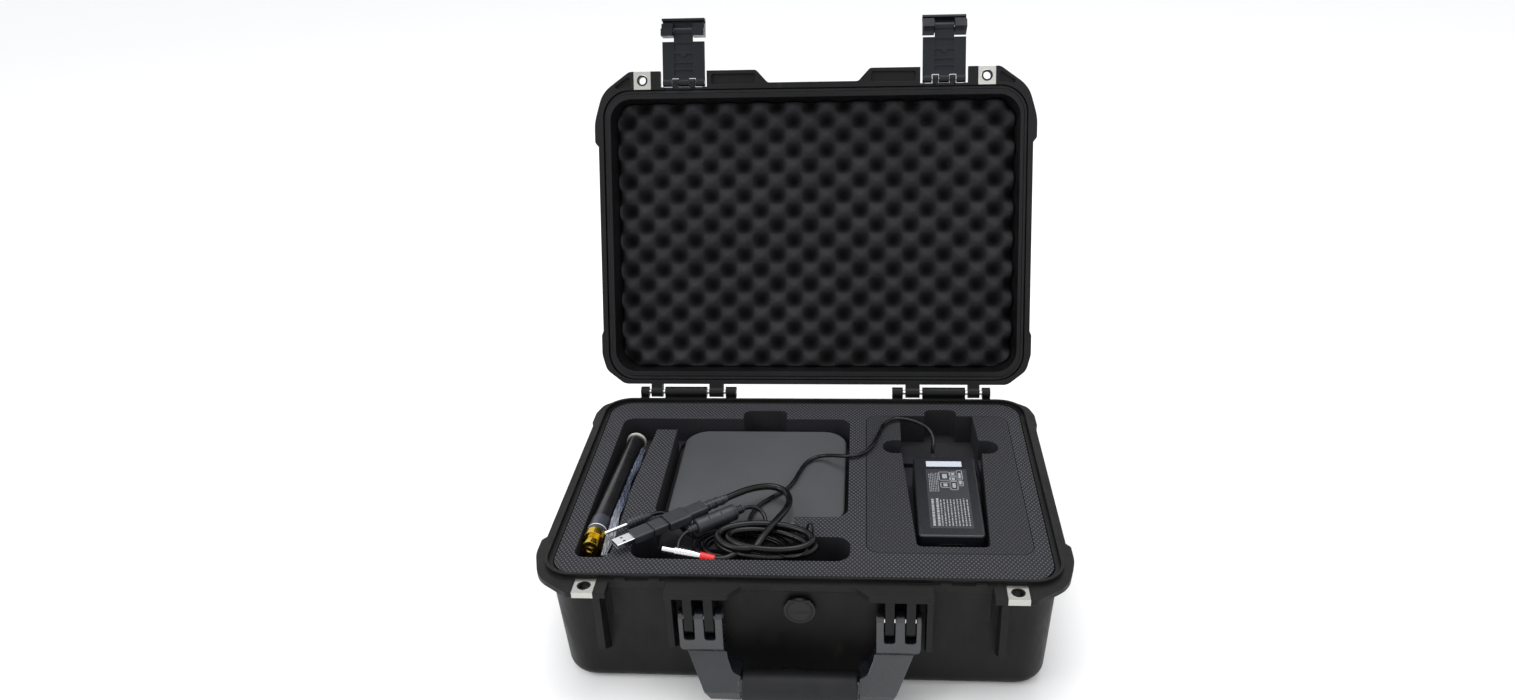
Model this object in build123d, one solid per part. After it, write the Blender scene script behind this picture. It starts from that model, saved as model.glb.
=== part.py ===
from build123d import *
import math
import os

# Carrying case of a handheld 3-D scanner kit, open, with its packed accessories.
# Millimetres. Origin: middle of the base's underside. +Z up, -Y front, +Y hinge side.

# ---------------------------------------------------------------- driving sizes
# Seal line: the rectangle where lid and base meet.
SEAL_X = 235.0          # half width
SEAL_Y = 162.5          # half depth
SEAL_R = 30.0           # corner radius
PART_Z = 128.0          # height of the parting plane
PART_GAP = 0.3          # each flange stays this far from the parting plane
LID_H = 50.0            # height of the closed lid above the parting plane
WALL = 3.5
FLANGE_T = 7.0
DRAFT_X = 5.0           # how much narrower each side is at the bottom of the base
DRAFT_Y = 9.0
LID_DRAFT = 4.5
BOTTOM_R = 14.0         # bottom edge of the base
LID_TOP_R = 10.0
LIP = 4.0               # tongue height above the base flange
LIP_T = 3.0
GROOVE_CLEAR = 0.8      # lid groove around the tongue

# Inside of base and lid at the parting plane, half sizes.
BASE_IN_X = SEAL_X - 7.5
BASE_IN_Y = SEAL_Y - 5.0
LID_IN_X = SEAL_X - 7.5
LID_IN_Y = SEAL_Y - 9.0
IN_R = 24.0

# Flange outline beyond the seal line.
SIDE_X = SEAL_X + 6.5
REAR_Y = SEAL_Y + 5.5
FRONT_Y = SEAL_Y + 21.0
BUMPER_X = SIDE_X + 4.0
REAR_BUMPER_X = SIDE_X + 2.0
RECESS_Y = SEAL_Y + 7.0        # centre of the front edge, between the handle brackets
RECESS_X = 50.0
HOOD_X = 59.0

# Lid hinge.
HINGE_Y = REAR_Y + 9.5
HINGE_Z = PART_Z + 3.5
HINGE_R = 6.0
HINGE_PIN_R = 2.4
LID_OPEN = 110.4        # degrees from closed to the open stop
RUN = 0.05              # radial running clearance of every pin
# Knuckle spans of one hinge, counted from the outer end: base, lid, base, lid, base.
KNUCKLES = [(190.0, 199.0), (174.0, 187.0), (123.0, 171.0), (104.0, 120.0), (89.0, 101.0)]

# Padlock lugs.
LUG_X = SEAL_X - 44.5
LUG_Y = FRONT_Y - 10.0
LUG_R = 4.2             # padlock hole
LUG_HALF = 11.5         # half width of the lug block round it
LUG_BACK = SEAL_Y + 0.5        # inner face of the lug block
PLATE_W = 19.0
PLATE_T = 1.0
PLATE_BACK = LUG_BACK + 0.6

# Latches.
LATCH_X = 144.0
LATCH_W = 47.0
NOTCH_W = 52.0          # notch in both flanges for a latch
NOTCH_Y = SEAL_Y + 3.5
LATCH_Y = NOTCH_Y + 5.0  # latch hinge, lid closed
LATCH_Z = PART_Z + 5.5
LATCH_R = 4.3
LATCH_PIN_R = 1.6
LINK_T = 5.0
LINK_END = 44.5         # outer end of the link plate, from the latch hinge
JAW_U = 56.0            # jaw pin, from the latch hinge
JAW_IN = 6.0            # jaw ears reach this far inwards of the jaw pin
JAW_HOOK = 10.0         # depth of the hook
JAW_END = 70.0
TONGUE_W = 21.0
LEDGE_TOP = PART_Z - 8.0
LEDGE_Z = LATCH_Z - 47.5  # underside of the catch ledge on the base
LEDGE_Y = SEAL_Y - 0.5
LATCH_SWING = 90.0
JAW_TILT_R = 24.0       # the right jaw stands tilted at rest
KEY_X = (-15.0, 16.0)   # centring keys beside a latch, from its middle
KEY_H = 1.2

# Handle.
HANDLE_Z = PART_Z - 35.0
HANDLE_Y = SEAL_Y + 8.0
HANDLE_PIN_R = 3.0
HANDLE_OUT = 108.0      # half width over the arms
HANDLE_IN = 68.5
ARM_T = 15.0            # arm thickness, front to back
PRONG_R = 8.0
RIB_X = (80.2, 98.8)    # the two ribs of a bracket
RIB_T = 8.0
SLOT_T = 10.2
SLOT_Z = HANDLE_Z - 21.0
GRIP_Y = HANDLE_Y + 13.5
GRIP_Z = HANDLE_Z - 68.0
GRIP_R = 15.5
GRIP_CORE_R = 10.0
GRIP_HALF = 52.0
HANDLE_SWING = 95.0

# Pressure valve.
VALVE_Z = PART_Z - 32.0
VALVE_R = 14.3
VALVE_T = 4.0
VALVE_STEM_R = 7.0

# Foam.
FOAM_TOP = 128.0        # the plugs lie on it, so it stays with the cord points
TRAY_BOTTOM = 84.0
PAD_BOTTOM = 4.2
FOAM_CLEAR = 0.8        # foam to the walls beside it
GAP = 0.3               # between neighbours that only lie on each other
POCKET_R = 14.0
POLE_POCKET = (-210.0, -167.0, -132.0, 118.0)     # x from, x to, y from, y to
POLE_FLOOR = 99.0
UNIT_POCKET = (-146.0, 42.0, -64.0, 122.0)
UNIT_FLOOR = 94.0
UNIT_NOTCH = (-76.0, -28.0, 140.0)                # x from, x to, y to
LEAD_POCKET = (-158.0, 45.0, -133.0, -96.0)
LEAD_FLOOR = 92.0
TROUGH = (-138.0, -9.0, -104.0, -58.0)             # lowered strip between both pockets
TROUGH_Z = 112.0
INSERT = (60.0, 212.0, -119.0, 130.0)
INSERT_R = 12.0
INSERT_GAP = 0.6
INSERT_FLOOR = 86.0
BAY_REAR = (96.4, 175.2)                          # adapter bay, x from and to at the rear
BAY_FRONT = (106.0, 173.0)
BAY_STEP_Y = 52.0
BAY_LEDGE_Y = 85.0
BAY_FRONT_Y = -109.0
BAY_LEDGE_Z = 95.0
BAY_FLOOR = 90.0
BAY_NOTCH = (123.5, 158.0, 144.0)
THUMB_Y = 66.0
THUMB_R = 13.0
THUMB_OUT = (77.0, 197.0)
THUMB_Z = 104.0

# Lid foam.
EGG_CLEAR = 1.6         # foam to the lid walls beside it
EGG_PEAK = 14.5         # peaks lie this far behind the parting plane
EGG_BACK = 45.8

# Power adapter.
AD_X = (108.0, 171.0)
AD_Y = (-88.0, 51.0)
AD_Z = (90.3, 125.0)
AD_SPLIT = 107.0
AD_WALL = 2.2
AD_R = 4.0
AD_LEAD_X = 130.0
AD_LEAD_Z = 113.0
AD_RELIEF = 21.0
INLET_W = 24.0
INLET_H = 17.0
INLET_D = 16.0
LABEL_T = 0.2

# Grey flat unit.
UNIT_X = (-137.0, 38.3)
UNIT_Y = (-59.5, 116.0)
UNIT_Z = (94.3, 116.3)
UNIT_SPLIT = 105.0
UNIT_R = 26.0
UNIT_WALL = 2.5
UNIT_SEAM = 0.3

# Pole: drawn along its own -Y, from the far end.
POLE_FAR = (-192.0, 97.0, 113.0)
POLE_YAW = -2.0
POLE_PITCH = 2.3        # the near end lies higher, on the foam
RING_L = 3.0
RING_R = 10.9
TUBE_L = 159.0
TUBE_R = 9.5
TUBE_BORE = 7.9
COLLAR_L = 24.0
COLLAR_R = 9.9
LINE_AT = 17.0          # white line on the collar
LINE_W = 1.2
BRASS_FLANGE = (10.3, 9.0)      # radius, length of each step
BRASS_NECK = (7.2, 8.5)
BRASS_NOSE = (8.0, 4.5)
BRASS_BORE = 4.0
NOSE_PIN = (2.2, 8.0)

# DC lead.
DC_D = 4.0
DC_R = DC_D / 2
FERRITE_A = (-101.0, -87.0, 130.4)
FERRITE_B = (-66.5, -60.0, 130.4)
FERRITE_R = 7.9
FERRITE_CORE_R = 5.4
FERRITE_RELIEF = 9.0
BARREL_TIP = (-185.0, -103.0, 133.8)
BARREL_MID = (-166.6, -88.3, 133.8)
BARREL_R = 1.75
BOOT_L = 25.0
BOOT_R = 4.6

# Data lead.
USB_D = 6.8
USB_R = USB_D / 2
PLUG_TIP = (-171.0, -125.0, 137.4)
PLUG_END = (-76.5, -46.8, 136.6)
SHELL_L = 18.5
SHELL_W = 12.0
SHELL_H = 4.5
BODY_W = 16.0
BODY_H = 8.4
BODY_ENDS = (37.0, 38.5, 52.5)          # first block, slit and second block end here
SLIT = 2.2                              # width of the slit behind the second block
COUPLER_W = 19.6
COUPLER_H = 9.4
COUPLER_END = 77.0
SOCKET_W = 15.4
SOCKET_H = 8.6
SOCKET_END = 97.0
PLUG_RELIEF_R = 4.9
RELIEF_PITCH = 4.1
RELIEF_RING = 2.3
CON_NOSE = (-128.0, -121.0, 129.8)
CON_END = (-79.0, -127.6, 124.4)
CON_NOSE_R = 3.2
CON_NOSE_L = 12.0
CON_R = 4.7
CON_L = 24.0
CON_BOOT_R = 4.0

# Coils: middle x, y, half length, half width, turn in degrees, bottom and top.
DC_COIL = (-57.0, -99.0, 54.0, 33.0, -6.0, 112.6, 120.0)
USB_COIL = (-33.0, -103.5, 54.0, 28.0, -7.0, 120.3, 135.6)

NODES = {}


def put(name, shape):
    """Keep a piece under its node name."""
    NODES[name] = shape


# ---------------------------------------------------------------- small helpers
def slab_between(sketch, z0, z1):
    """Straight prism of a sketch from z0 to z1."""
    return extrude(Pos(0, 0, z0) * sketch, amount=z1 - z0)


def rounded(half_x, half_y, radius):
    return RectangleRounded(2 * half_x, 2 * half_y, radius)


def drafted(bottom, top, z0, z1):
    """Prism whose rounded outline (half_x, half_y, radius) changes from bottom to top."""
    return loft([Pos(0, 0, z0) * rounded(*bottom), Pos(0, 0, z1) * rounded(*top)], ruled=True)


def span_box(x0, x1, y0, y1, z0, z1):
    return Pos((x0 + x1) / 2, (y0 + y1) / 2, (z0 + z1) / 2) * Box(x1 - x0, y1 - y0, z1 - z0)


def pocket(x0, x1, y0, y1, z0, z1, radius):
    """Box with rounded upright edges, for a pocket cut in foam or a moulded block."""
    limit = 0.49 * min(x1 - x0, y1 - y0)
    plan = RectangleRounded(x1 - x0, y1 - y0, min(radius, limit))
    return slab_between(Pos((x0 + x1) / 2, (y0 + y1) / 2) * plan, z0, z1)


def rod_x(x0, x1, y, z, radius):
    """Round bar along X."""
    return Pos((x0 + x1) / 2, y, z) * Rot(Y=90) * Cylinder(radius, x1 - x0)


def both_sides(shape):
    """A shape and its mirror image in the plane x = 0."""
    return [shape, mirror(shape, about=Plane.YZ)]


def fuse(*shapes):
    flat = []
    for shape in shapes:
        flat.extend(shape if isinstance(shape, list) else [shape])
    return flat[0].fuse(*flat[1:]) if len(flat) > 1 else flat[0]


def cut(shape, *tools):
    flat = []
    for tool in tools:
        flat.extend(tool if isinstance(tool, list) else [tool])
    return shape.cut(*flat)


def plan_face(points, radii):
    """Face through the points, with each corner rounded by its radius (0 = sharp)."""
    face = make_face(Polyline(*points, close=True))
    for point, radius in zip(points, radii):
        if radius:
            near = face.vertices().sort_by_distance(Vector(*point, 0))[0]
            face = fillet(near, radius)
    return face


def side_profile(points, x0, x1):
    """Prism along X of an outline given as (y, z) points."""
    face = make_face(Polyline(*[(0, y, z) for y, z in points], close=True))
    return Pos(x0, 0, 0) * extrude(face, amount=x1 - x0, dir=(1, 0, 0))


def along(start, end):
    """Location at start whose Z axis points to end, with its X axis level."""
    z_dir = Vector(*end) - Vector(*start)
    x_dir = Vector(0, 0, 1).cross(z_dir)
    return Plane(origin=start, x_dir=x_dir, z_dir=z_dir).location


def length_between(start, end):
    return (Vector(*end) - Vector(*start)).length


def hinged_open(shape):
    """Turn a lid piece, drawn closed, to the open stop."""
    about = Pos(0, HINGE_Y, HINGE_Z)
    return about * Rot(X=-LID_OPEN) * Pos(0, -HINGE_Y, -HINGE_Z) * shape


# ---------------------------------------------------------------- flange outline
def flange_plan():
    """Outline shared by both flanges: sides, four corner bumpers and the front strip."""
    side = Pos(0, (REAR_Y - RECESS_Y) / 2) * rounded(SIDE_X, (REAR_Y + RECESS_Y) / 2, 36)
    front = plan_face(
        [(LATCH_X, -FRONT_Y + 83.5), (SIDE_X - 1, -FRONT_Y + 83.5), (BUMPER_X, -FRONT_Y + 77.5),
         (BUMPER_X, -FRONT_Y + 55.5), (BUMPER_X - 9.5, -FRONT_Y + 22.5), (LUG_X + 14.5, -FRONT_Y),
         (LATCH_X, -FRONT_Y)],
        [0, 0, 5, 50, 34, 10, 0],
    )
    rear = plan_face(
        [(LATCH_X, REAR_Y - 64), (SIDE_X - 1, REAR_Y - 64), (REAR_BUMPER_X, REAR_Y - 56),
         (REAR_BUMPER_X, REAR_Y - 34), (REAR_BUMPER_X - 5, REAR_Y - 16), (SEAL_X - 17, REAR_Y),
         (LATCH_X, REAR_Y)],
        [0, 0, 4, 20, 16, 14, 0],
    )
    strip = plan_face(
        [(0, -SEAL_Y + 12.5), (LUG_X + 9.5, -SEAL_Y + 12.5), (LUG_X + 9.5, -FRONT_Y), (HOOD_X + 4, -FRONT_Y),
         (RECESS_X, -RECESS_Y), (0, -RECESS_Y)],
        [0, 0, 0, 5, 5, 0],
    )
    halves = [front, rear, strip]
    return fuse(side, halves, [mirror(half, about=Plane.YZ) for half in halves])


def latch_notches(z0, z1):
    reach = NOTCH_W / 2
    return both_sides(span_box(LATCH_X - reach, LATCH_X + reach, -FRONT_Y - 5, -NOTCH_Y, z0, z1))


PLAN = flange_plan()
BASE_TOP = PART_Z - PART_GAP
LID_BOTTOM = PART_Z + PART_GAP
LIP_TOP = BASE_TOP + LIP
BODY_X = BASE_IN_X + WALL
BODY_Y = BASE_IN_Y + WALL
FLANGE_Z = BASE_TOP - FLANGE_T


def wall_y(z):
    """Outer front wall of the base, as a positive y, at a height."""
    return BODY_Y - DRAFT_Y * (1 - z / FLANGE_Z)


# ---------------------------------------------------------------- base shell
def base_shell():
    outer = drafted(
        (BODY_X - DRAFT_X, BODY_Y - DRAFT_Y, SEAL_R), (BODY_X, BODY_Y, SEAL_R), 0, FLANGE_Z + 1
    )
    outer = fillet(outer.faces().sort_by(Axis.Z)[0].edges(), BOTTOM_R)
    flange = slab_between(PLAN, FLANGE_Z, BASE_TOP)
    flange = chamfer(flange.faces().sort_by(Axis.Z)[0].edges(), 1.5)
    tongue = slab_between(rounded(SEAL_X, SEAL_Y, SEAL_R), BASE_TOP - 1, LIP_TOP)
    shell = fuse(outer, flange, tongue)

    inside = drafted(
        (BASE_IN_X - DRAFT_X, BASE_IN_Y - DRAFT_Y, IN_R), (BASE_IN_X, BASE_IN_Y, IN_R), WALL, LIP_TOP + 1
    )
    inside = fillet(inside.faces().sort_by(Axis.Z)[0].edges(), BOTTOM_R - WALL)
    inner_lip = slab_between(rounded(SEAL_X - LIP_T, SEAL_Y - LIP_T, SEAL_R - LIP_T), BASE_TOP, LIP_TOP + 1)
    shell = cut(shell, inside, inner_lip, latch_notches(FLANGE_Z - 2, LIP_TOP))

    def fin(x0, x1, low):
        """Upright fin below the flange that guards a latch."""
        top = FLANGE_Z + 1
        edge = FRONT_Y - 5
        foot = [(-wall_y(low) + 2, low - 10), (-edge, low + 8), (-edge, top), (-wall_y(top) + 2, top)]
        return side_profile(foot, x0, x1)

    reach = NOTCH_W / 2
    fins = both_sides(fin(LATCH_X + reach + 6.5, LATCH_X + reach + 13, 52))
    fins += both_sides(fin(LATCH_X - reach - 5.5, LATCH_X - reach, 56))

    def rib(x):
        """Bracket rib that carries a handle pin between two prongs."""
        outline = [
            (-wall_y(FLANGE_Z) + 2, FLANGE_Z + 1), (-FRONT_Y + 5, FLANGE_Z + 1),
            (-FRONT_Y + 5, HANDLE_Z - 10),
            (-HANDLE_Y - 3.5, HANDLE_Z - 15.5), (-HANDLE_Y + 7, HANDLE_Z - 17),
            (-wall_y(HANDLE_Z - 23) + 2, HANDLE_Z - 23),
        ]
        return side_profile(outline, x - RIB_T / 2, x + RIB_T / 2)

    ribs = both_sides(rib(RIB_X[0])) + both_sides(rib(RIB_X[1]))
    ledge = both_sides(
        span_box(LATCH_X - reach, LATCH_X + reach, -LEDGE_Y, -wall_y(LEDGE_Z) + 2, LEDGE_Z, LEDGE_TOP + 1)
    )
    shell = fuse(shell, fins, ribs, ledge)

    knuckles = []
    for x0, x1 in KNUCKLES[0::2]:
        web = span_box(x0, x1, BODY_Y - 4, HINGE_Y, HINGE_Z - HINGE_R, BASE_TOP)
        knuckles += both_sides(fuse(rod_x(x0, x1, HINGE_Y, HINGE_Z, HINGE_R), web))
    shell = fuse(shell, knuckles)

    keys = []
    for offset in KEY_X:
        x = LATCH_X + offset
        keys += both_sides(span_box(x - 5, x + 5, -NOTCH_Y, -SEAL_Y, BASE_TOP - 1, BASE_TOP + KEY_H))
    shell = fuse(shell, keys)

    holes = both_sides(Pos(LUG_X, -LUG_Y, BASE_TOP) * Cylinder(LUG_R, 40))
    holes += both_sides(rod_x(RIB_X[0] - 9, RIB_X[1] + 9, -HANDLE_Y, HANDLE_Z, HANDLE_PIN_R))
    holes += both_sides(rod_x(KNUCKLES[4][0] - 1, KNUCKLES[0][1] + 1, HINGE_Y, HINGE_Z, HINGE_PIN_R))
    holes.append(Pos(0, -BODY_Y, VALVE_Z) * Rot(X=90) * Cylinder(VALVE_STEM_R, 30))
    plate = (LUG_X - PLATE_W / 2, LUG_X + PLATE_W / 2)
    recess = both_sides(span_box(*plate, -FRONT_Y - 1, -PLATE_BACK, BASE_TOP - PLATE_T, BASE_TOP + 1))
    recess += both_sides(span_box(*plate, -FRONT_Y - 1, -FRONT_Y + PLATE_T, BASE_TOP - 6, BASE_TOP))
    return cut(shell, holes, recess)


BASE = base_shell()
lug_blocks = both_sides(
    span_box(LUG_X - LUG_HALF, LUG_X + LUG_HALF, -FRONT_Y - 1, -LUG_BACK, FLANGE_Z - 20, BASE_TOP + 1)
)
put("base_shell", cut(BASE, lug_blocks))
put("base_padlock_lugs", Compound(children=[BASE & block for block in lug_blocks]))


# ---------------------------------------------------------------- lid shell, drawn closed
def lid_shell():
    top_z = PART_Z + LID_H
    flange_top = LID_BOTTOM + FLANGE_T
    body_y = LID_IN_Y + WALL
    outer = drafted(
        (BODY_X, body_y, SEAL_R), (BODY_X - LID_DRAFT, body_y - LID_DRAFT, SEAL_R), flange_top - 1, top_z
    )
    outer = fillet(outer.faces().sort_by(Axis.Z)[-1].edges(), LID_TOP_R)
    flange = slab_between(PLAN, LID_BOTTOM, flange_top)
    flange = chamfer(flange.faces().sort_by(Axis.Z)[-1].edges(), 1.5)
    shell = fuse(outer, flange)
    inside = drafted(
        (LID_IN_X, LID_IN_Y, IN_R), (LID_IN_X - LID_DRAFT, LID_IN_Y - LID_DRAFT, IN_R),
        LID_BOTTOM - 1, top_z - WALL,
    )
    inside = fillet(inside.faces().sort_by(Axis.Z)[-1].edges(), LID_TOP_R - WALL)
    groove_out = rounded(SEAL_X + GROOVE_CLEAR, SEAL_Y + GROOVE_CLEAR, SEAL_R + GROOVE_CLEAR)
    groove_in = rounded(
        SEAL_X - LIP_T - GROOVE_CLEAR, SEAL_Y - LIP_T - GROOVE_CLEAR, SEAL_R - LIP_T - GROOVE_CLEAR
    )
    groove = slab_between(groove_out - groove_in, LID_BOTTOM - 1, SEAL_SEAT)
    shell = cut(shell, inside, groove, latch_notches(LID_BOTTOM - 1, flange_top + 1))

    # Shallow panel with two bars on the outside of the lid.
    panel = slab_between(rounded(150, 84, 14), top_z - 1.5, top_z + 1)
    bars = [pocket(-120, 120, y - 9, y + 9, top_z - 1.6, top_z, 8) for y in (-42, 0, 42)]
    shell = fuse(cut(shell, panel), bars)

    # Hollows on the underside of the front flange.
    hood = (HOOD_X + 5, LATCH_X - NOTCH_W / 2 - 5)
    hollows = both_sides(pocket(*hood, -FRONT_Y + 4, -RECESS_Y + 1, LID_BOTTOM - 1, LID_BOTTOM + 4, 2))
    corner = plan_face(
        [(LUG_X + 13.5, -FRONT_Y + 4.5), (SEAL_X - 7, -SEAL_Y - 1), (LUG_X + 13.5, -SEAL_Y - 4.5)], [2, 2, 2]
    )
    hollows += both_sides(slab_between(corner, LID_BOTTOM - 1, LID_BOTTOM + 4))
    for offset in KEY_X:
        x = LATCH_X + offset
        hollows += both_sides(
            span_box(x - 6, x + 6, -NOTCH_Y - 1, -SEAL_Y + 1, LID_BOTTOM - 1, LID_BOTTOM + KEY_H + 1)
        )
    shell = cut(shell, hollows)

    knuckles = []
    for x0, x1 in KNUCKLES[1::2]:
        web = span_box(
            x0, x1, SEAL_Y + GROOVE_CLEAR + 1.5, HINGE_Y, LID_BOTTOM, HINGE_Z + HINGE_R
        )
        knuckles += both_sides(fuse(rod_x(x0, x1, HINGE_Y, HINGE_Z, HINGE_R), web))
    for offset in (-9.4, 9.4):
        x0 = LATCH_X + offset - 3.2
        web = span_box(x0, x0 + 6.4, -LATCH_Y, -NOTCH_Y + 1, LATCH_Z - LATCH_R, flange_top)
        knuckles += both_sides(fuse(rod_x(x0, x0 + 6.4, -LATCH_Y, LATCH_Z, LATCH_R), web))
    shell = fuse(shell, knuckles)

    holes = both_sides(Pos(LUG_X, -LUG_Y, LID_BOTTOM) * Cylinder(LUG_R, 40))
    holes += both_sides(
        rod_x(KNUCKLES[4][0] - 1, KNUCKLES[0][1] + 1, HINGE_Y, HINGE_Z, HINGE_PIN_R + RUN)
    )
    holes += both_sides(rod_x(LATCH_X - 20, LATCH_X + 20, -LATCH_Y, LATCH_Z, LATCH_PIN_R))
    plate = (LUG_X - PLATE_W / 2, LUG_X + PLATE_W / 2)
    recess = both_sides(span_box(*plate, -FRONT_Y - 1, -PLATE_BACK, LID_BOTTOM - 1, LID_BOTTOM + PLATE_T))
    recess += both_sides(span_box(*plate, -FRONT_Y - 1, -FRONT_Y + PLATE_T, LID_BOTTOM, LID_BOTTOM + 6))
    return cut(shell, holes, recess)


SEAL_SEAT = LIP_TOP + 2.6
put("lid_shell", hinged_open(lid_shell()))

seal_plan = rounded(SEAL_X, SEAL_Y, SEAL_R) - rounded(SEAL_X - LIP_T, SEAL_Y - LIP_T, SEAL_R - LIP_T)
put("lid_seal", hinged_open(slab_between(seal_plan, LIP_TOP + GAP, SEAL_SEAT)))


# ---------------------------------------------------------------- padlock plates
def padlock_plate(x, face_z, fold):
    """Folded steel plate: a leaf with the padlock hole and a lip over the front edge."""
    top = face_z
    low = face_z - PLATE_T * fold
    leaf = span_box(
        x - PLATE_W / 2, x + PLATE_W / 2, -FRONT_Y, -PLATE_BACK - 0.1, min(top, low), max(top, low)
    )
    deep = face_z - 5.8 * fold
    lip = span_box(
        x - PLATE_W / 2, x + PLATE_W / 2, -FRONT_Y, -FRONT_Y + PLATE_T, min(top, deep), max(top, deep)
    )
    return cut(fuse(leaf, lip), Pos(x, -LUG_Y, face_z) * Cylinder(LUG_R, 12))


base_plates = [padlock_plate(x, BASE_TOP, 1) for x in (-LUG_X, LUG_X)]
lid_plates = [hinged_open(padlock_plate(x, LID_BOTTOM, -1)) for x in (-LUG_X, LUG_X)]
put("base_padlock_plates", Compound(children=base_plates))
put("lid_padlock_plates", Compound(children=lid_plates))

# ---------------------------------------------------------------- hinge and handle pins
hinge_pins = both_sides(rod_x(KNUCKLES[4][0], KNUCKLES[0][1], HINGE_Y, HINGE_Z, HINGE_PIN_R))
put("hinge_pins", Compound(children=hinge_pins))
handle_pins = both_sides(
    rod_x(HANDLE_IN + 0.5, HANDLE_OUT - 0.5, -HANDLE_Y, HANDLE_Z, HANDLE_PIN_R)
)
put("handle_pins", Compound(children=handle_pins))

# ---------------------------------------------------------------- pressure valve
valve_at = Pos(0, -wall_y(VALVE_Z), VALVE_Z) * Rot(X=90)
valve_cap = valve_at * Pos(0, 0, VALVE_T / 2 + 0.9) * Cylinder(VALVE_R, VALVE_T)
valve_stem = valve_at * Pos(0, 0, -0.8) * Cylinder(VALVE_STEM_R, 4.6)
valve_vent = valve_at * Pos(0, 0, -2) * Cylinder(3.0, 12)
valve_lug = [
    valve_at * Pos(dx, VALVE_R - 2.5, VALVE_T + 1.4) * Box(7, 2.0, 1.6) for dx in (-6.5, 6.5)
]
put("valve_body", cut(fuse(valve_cap, valve_stem, valve_lug), valve_vent))
valve_ring = valve_at * Pos(0, 0, 0.45) * Cylinder(VALVE_R - 2, 0.9)
put("valve_seal", cut(valve_ring, valve_at * Cylinder(VALVE_STEM_R + 0.2, 6), BASE))
put("valve_membrane", valve_at * Pos(0, 0, -1.5) * Cylinder(3.0, 0.6))

# ---------------------------------------------------------------- latches
def latch_frame(sign):
    """Latch drawn with u outwards along -Y and w towards the inside, lid closed."""
    return Pos(sign * LATCH_X, -LATCH_Y, LATCH_Z)


def bar_u(x0, x1, u0, u1, w0, w1):
    """Box in latch coordinates: u runs out along -Y, w runs down along -Z."""
    return span_box(x0, x1, -u1, -u0, -w1, -w0)


def link_plate():
    half = LATCH_W / 2
    t = LINK_T / 2
    plate = bar_u(-half, half, 5, LINK_END, -t, t)
    tongue = bar_u(-TONGUE_W / 2, TONGUE_W / 2, LINK_END - 1, JAW_U, -t, t)
    barrel = rod_x(-TONGUE_W / 2, TONGUE_W / 2, -JAW_U, 0, 4.4)
    roots = []
    for x0, x1 in ((-half, -13.4), (-5.6, 5.6), (13.4, half)):
        roots.append(rod_x(x0, x1, 0, 0, LATCH_R))
        roots.append(bar_u(x0, x1, 0, 6, -t, t))
    link = fuse(plate, tongue, barrel, roots)
    window = bar_u(-TONGUE_W / 2, TONGUE_W / 2, 34.5, 42.5, t - 1.4, t + 1)
    hollows = [window]
    for u0, u1 in ((23.0, 31.0), (15.5, 21.0), (8.5, 13.5)):
        hollows.append(bar_u(-TONGUE_W / 2, TONGUE_W / 2, u0, u1, t - 1.4, t + 1))
    boss = Pos(0, -31, -t + 0.6) * Cylinder(3.2, 1.2)
    link = fuse(cut(link, hollows), boss)
    bores = [
        rod_x(-half - 1, half + 1, 0, 0, LATCH_PIN_R + RUN),
        rod_x(-half, half, -JAW_U, 0, LATCH_PIN_R + RUN),
    ]
    return cut(link, bores)


def jaw_lever():
    half = LATCH_W / 2 + 0.4
    ears = []
    for x0, x1 in ((-half, -TONGUE_W / 2 - 0.6), (TONGUE_W / 2 + 0.6, half)):
        ear = bar_u(x0, x1, JAW_U - JAW_IN, JAW_U + 8, -8, 4)
        hook = bar_u(x0, x1, JAW_U - JAW_IN, JAW_U + 2, 4, JAW_HOOK)
        ears += [ear, hook]
    cover = bar_u(-half, half, JAW_U - 3, JAW_END, -8, -5)
    lip = bar_u(-half, half, JAW_END - 2.6, JAW_END, -8, 1.5)
    lever = fuse(ears, cover, lip)
    return cut(lever, rod_x(-half - 1, half + 1, -JAW_U, 0, LATCH_PIN_R))


def tilt_jaw(shape, degrees):
    about = Pos(0, -JAW_U, 0)
    return about * Rot(X=degrees) * Pos(0, JAW_U, 0) * shape


for side, sign, tilt in (("left", -1, 0.0), ("right", 1, -JAW_TILT_R)):
    place = latch_frame(sign)
    jaw_pin = rod_x(-LATCH_W / 2 + 0.2, LATCH_W / 2 - 0.2, -JAW_U, 0, LATCH_PIN_R)
    put(f"latch_link_{side}", hinged_open(place * link_plate()))
    put(f"latch_jaw_{side}", hinged_open(place * tilt_jaw(jaw_lever(), tilt)))
    put(f"latch_jaw_pin_{side}", hinged_open(place * jaw_pin))

latch_pins = [
    hinged_open(latch_frame(sign) * rod_x(-LATCH_W / 2, LATCH_W / 2, 0, 0, LATCH_PIN_R))
    for sign in (-1, 1)
]
put("latch_hinge_pins", Compound(children=latch_pins))


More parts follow.
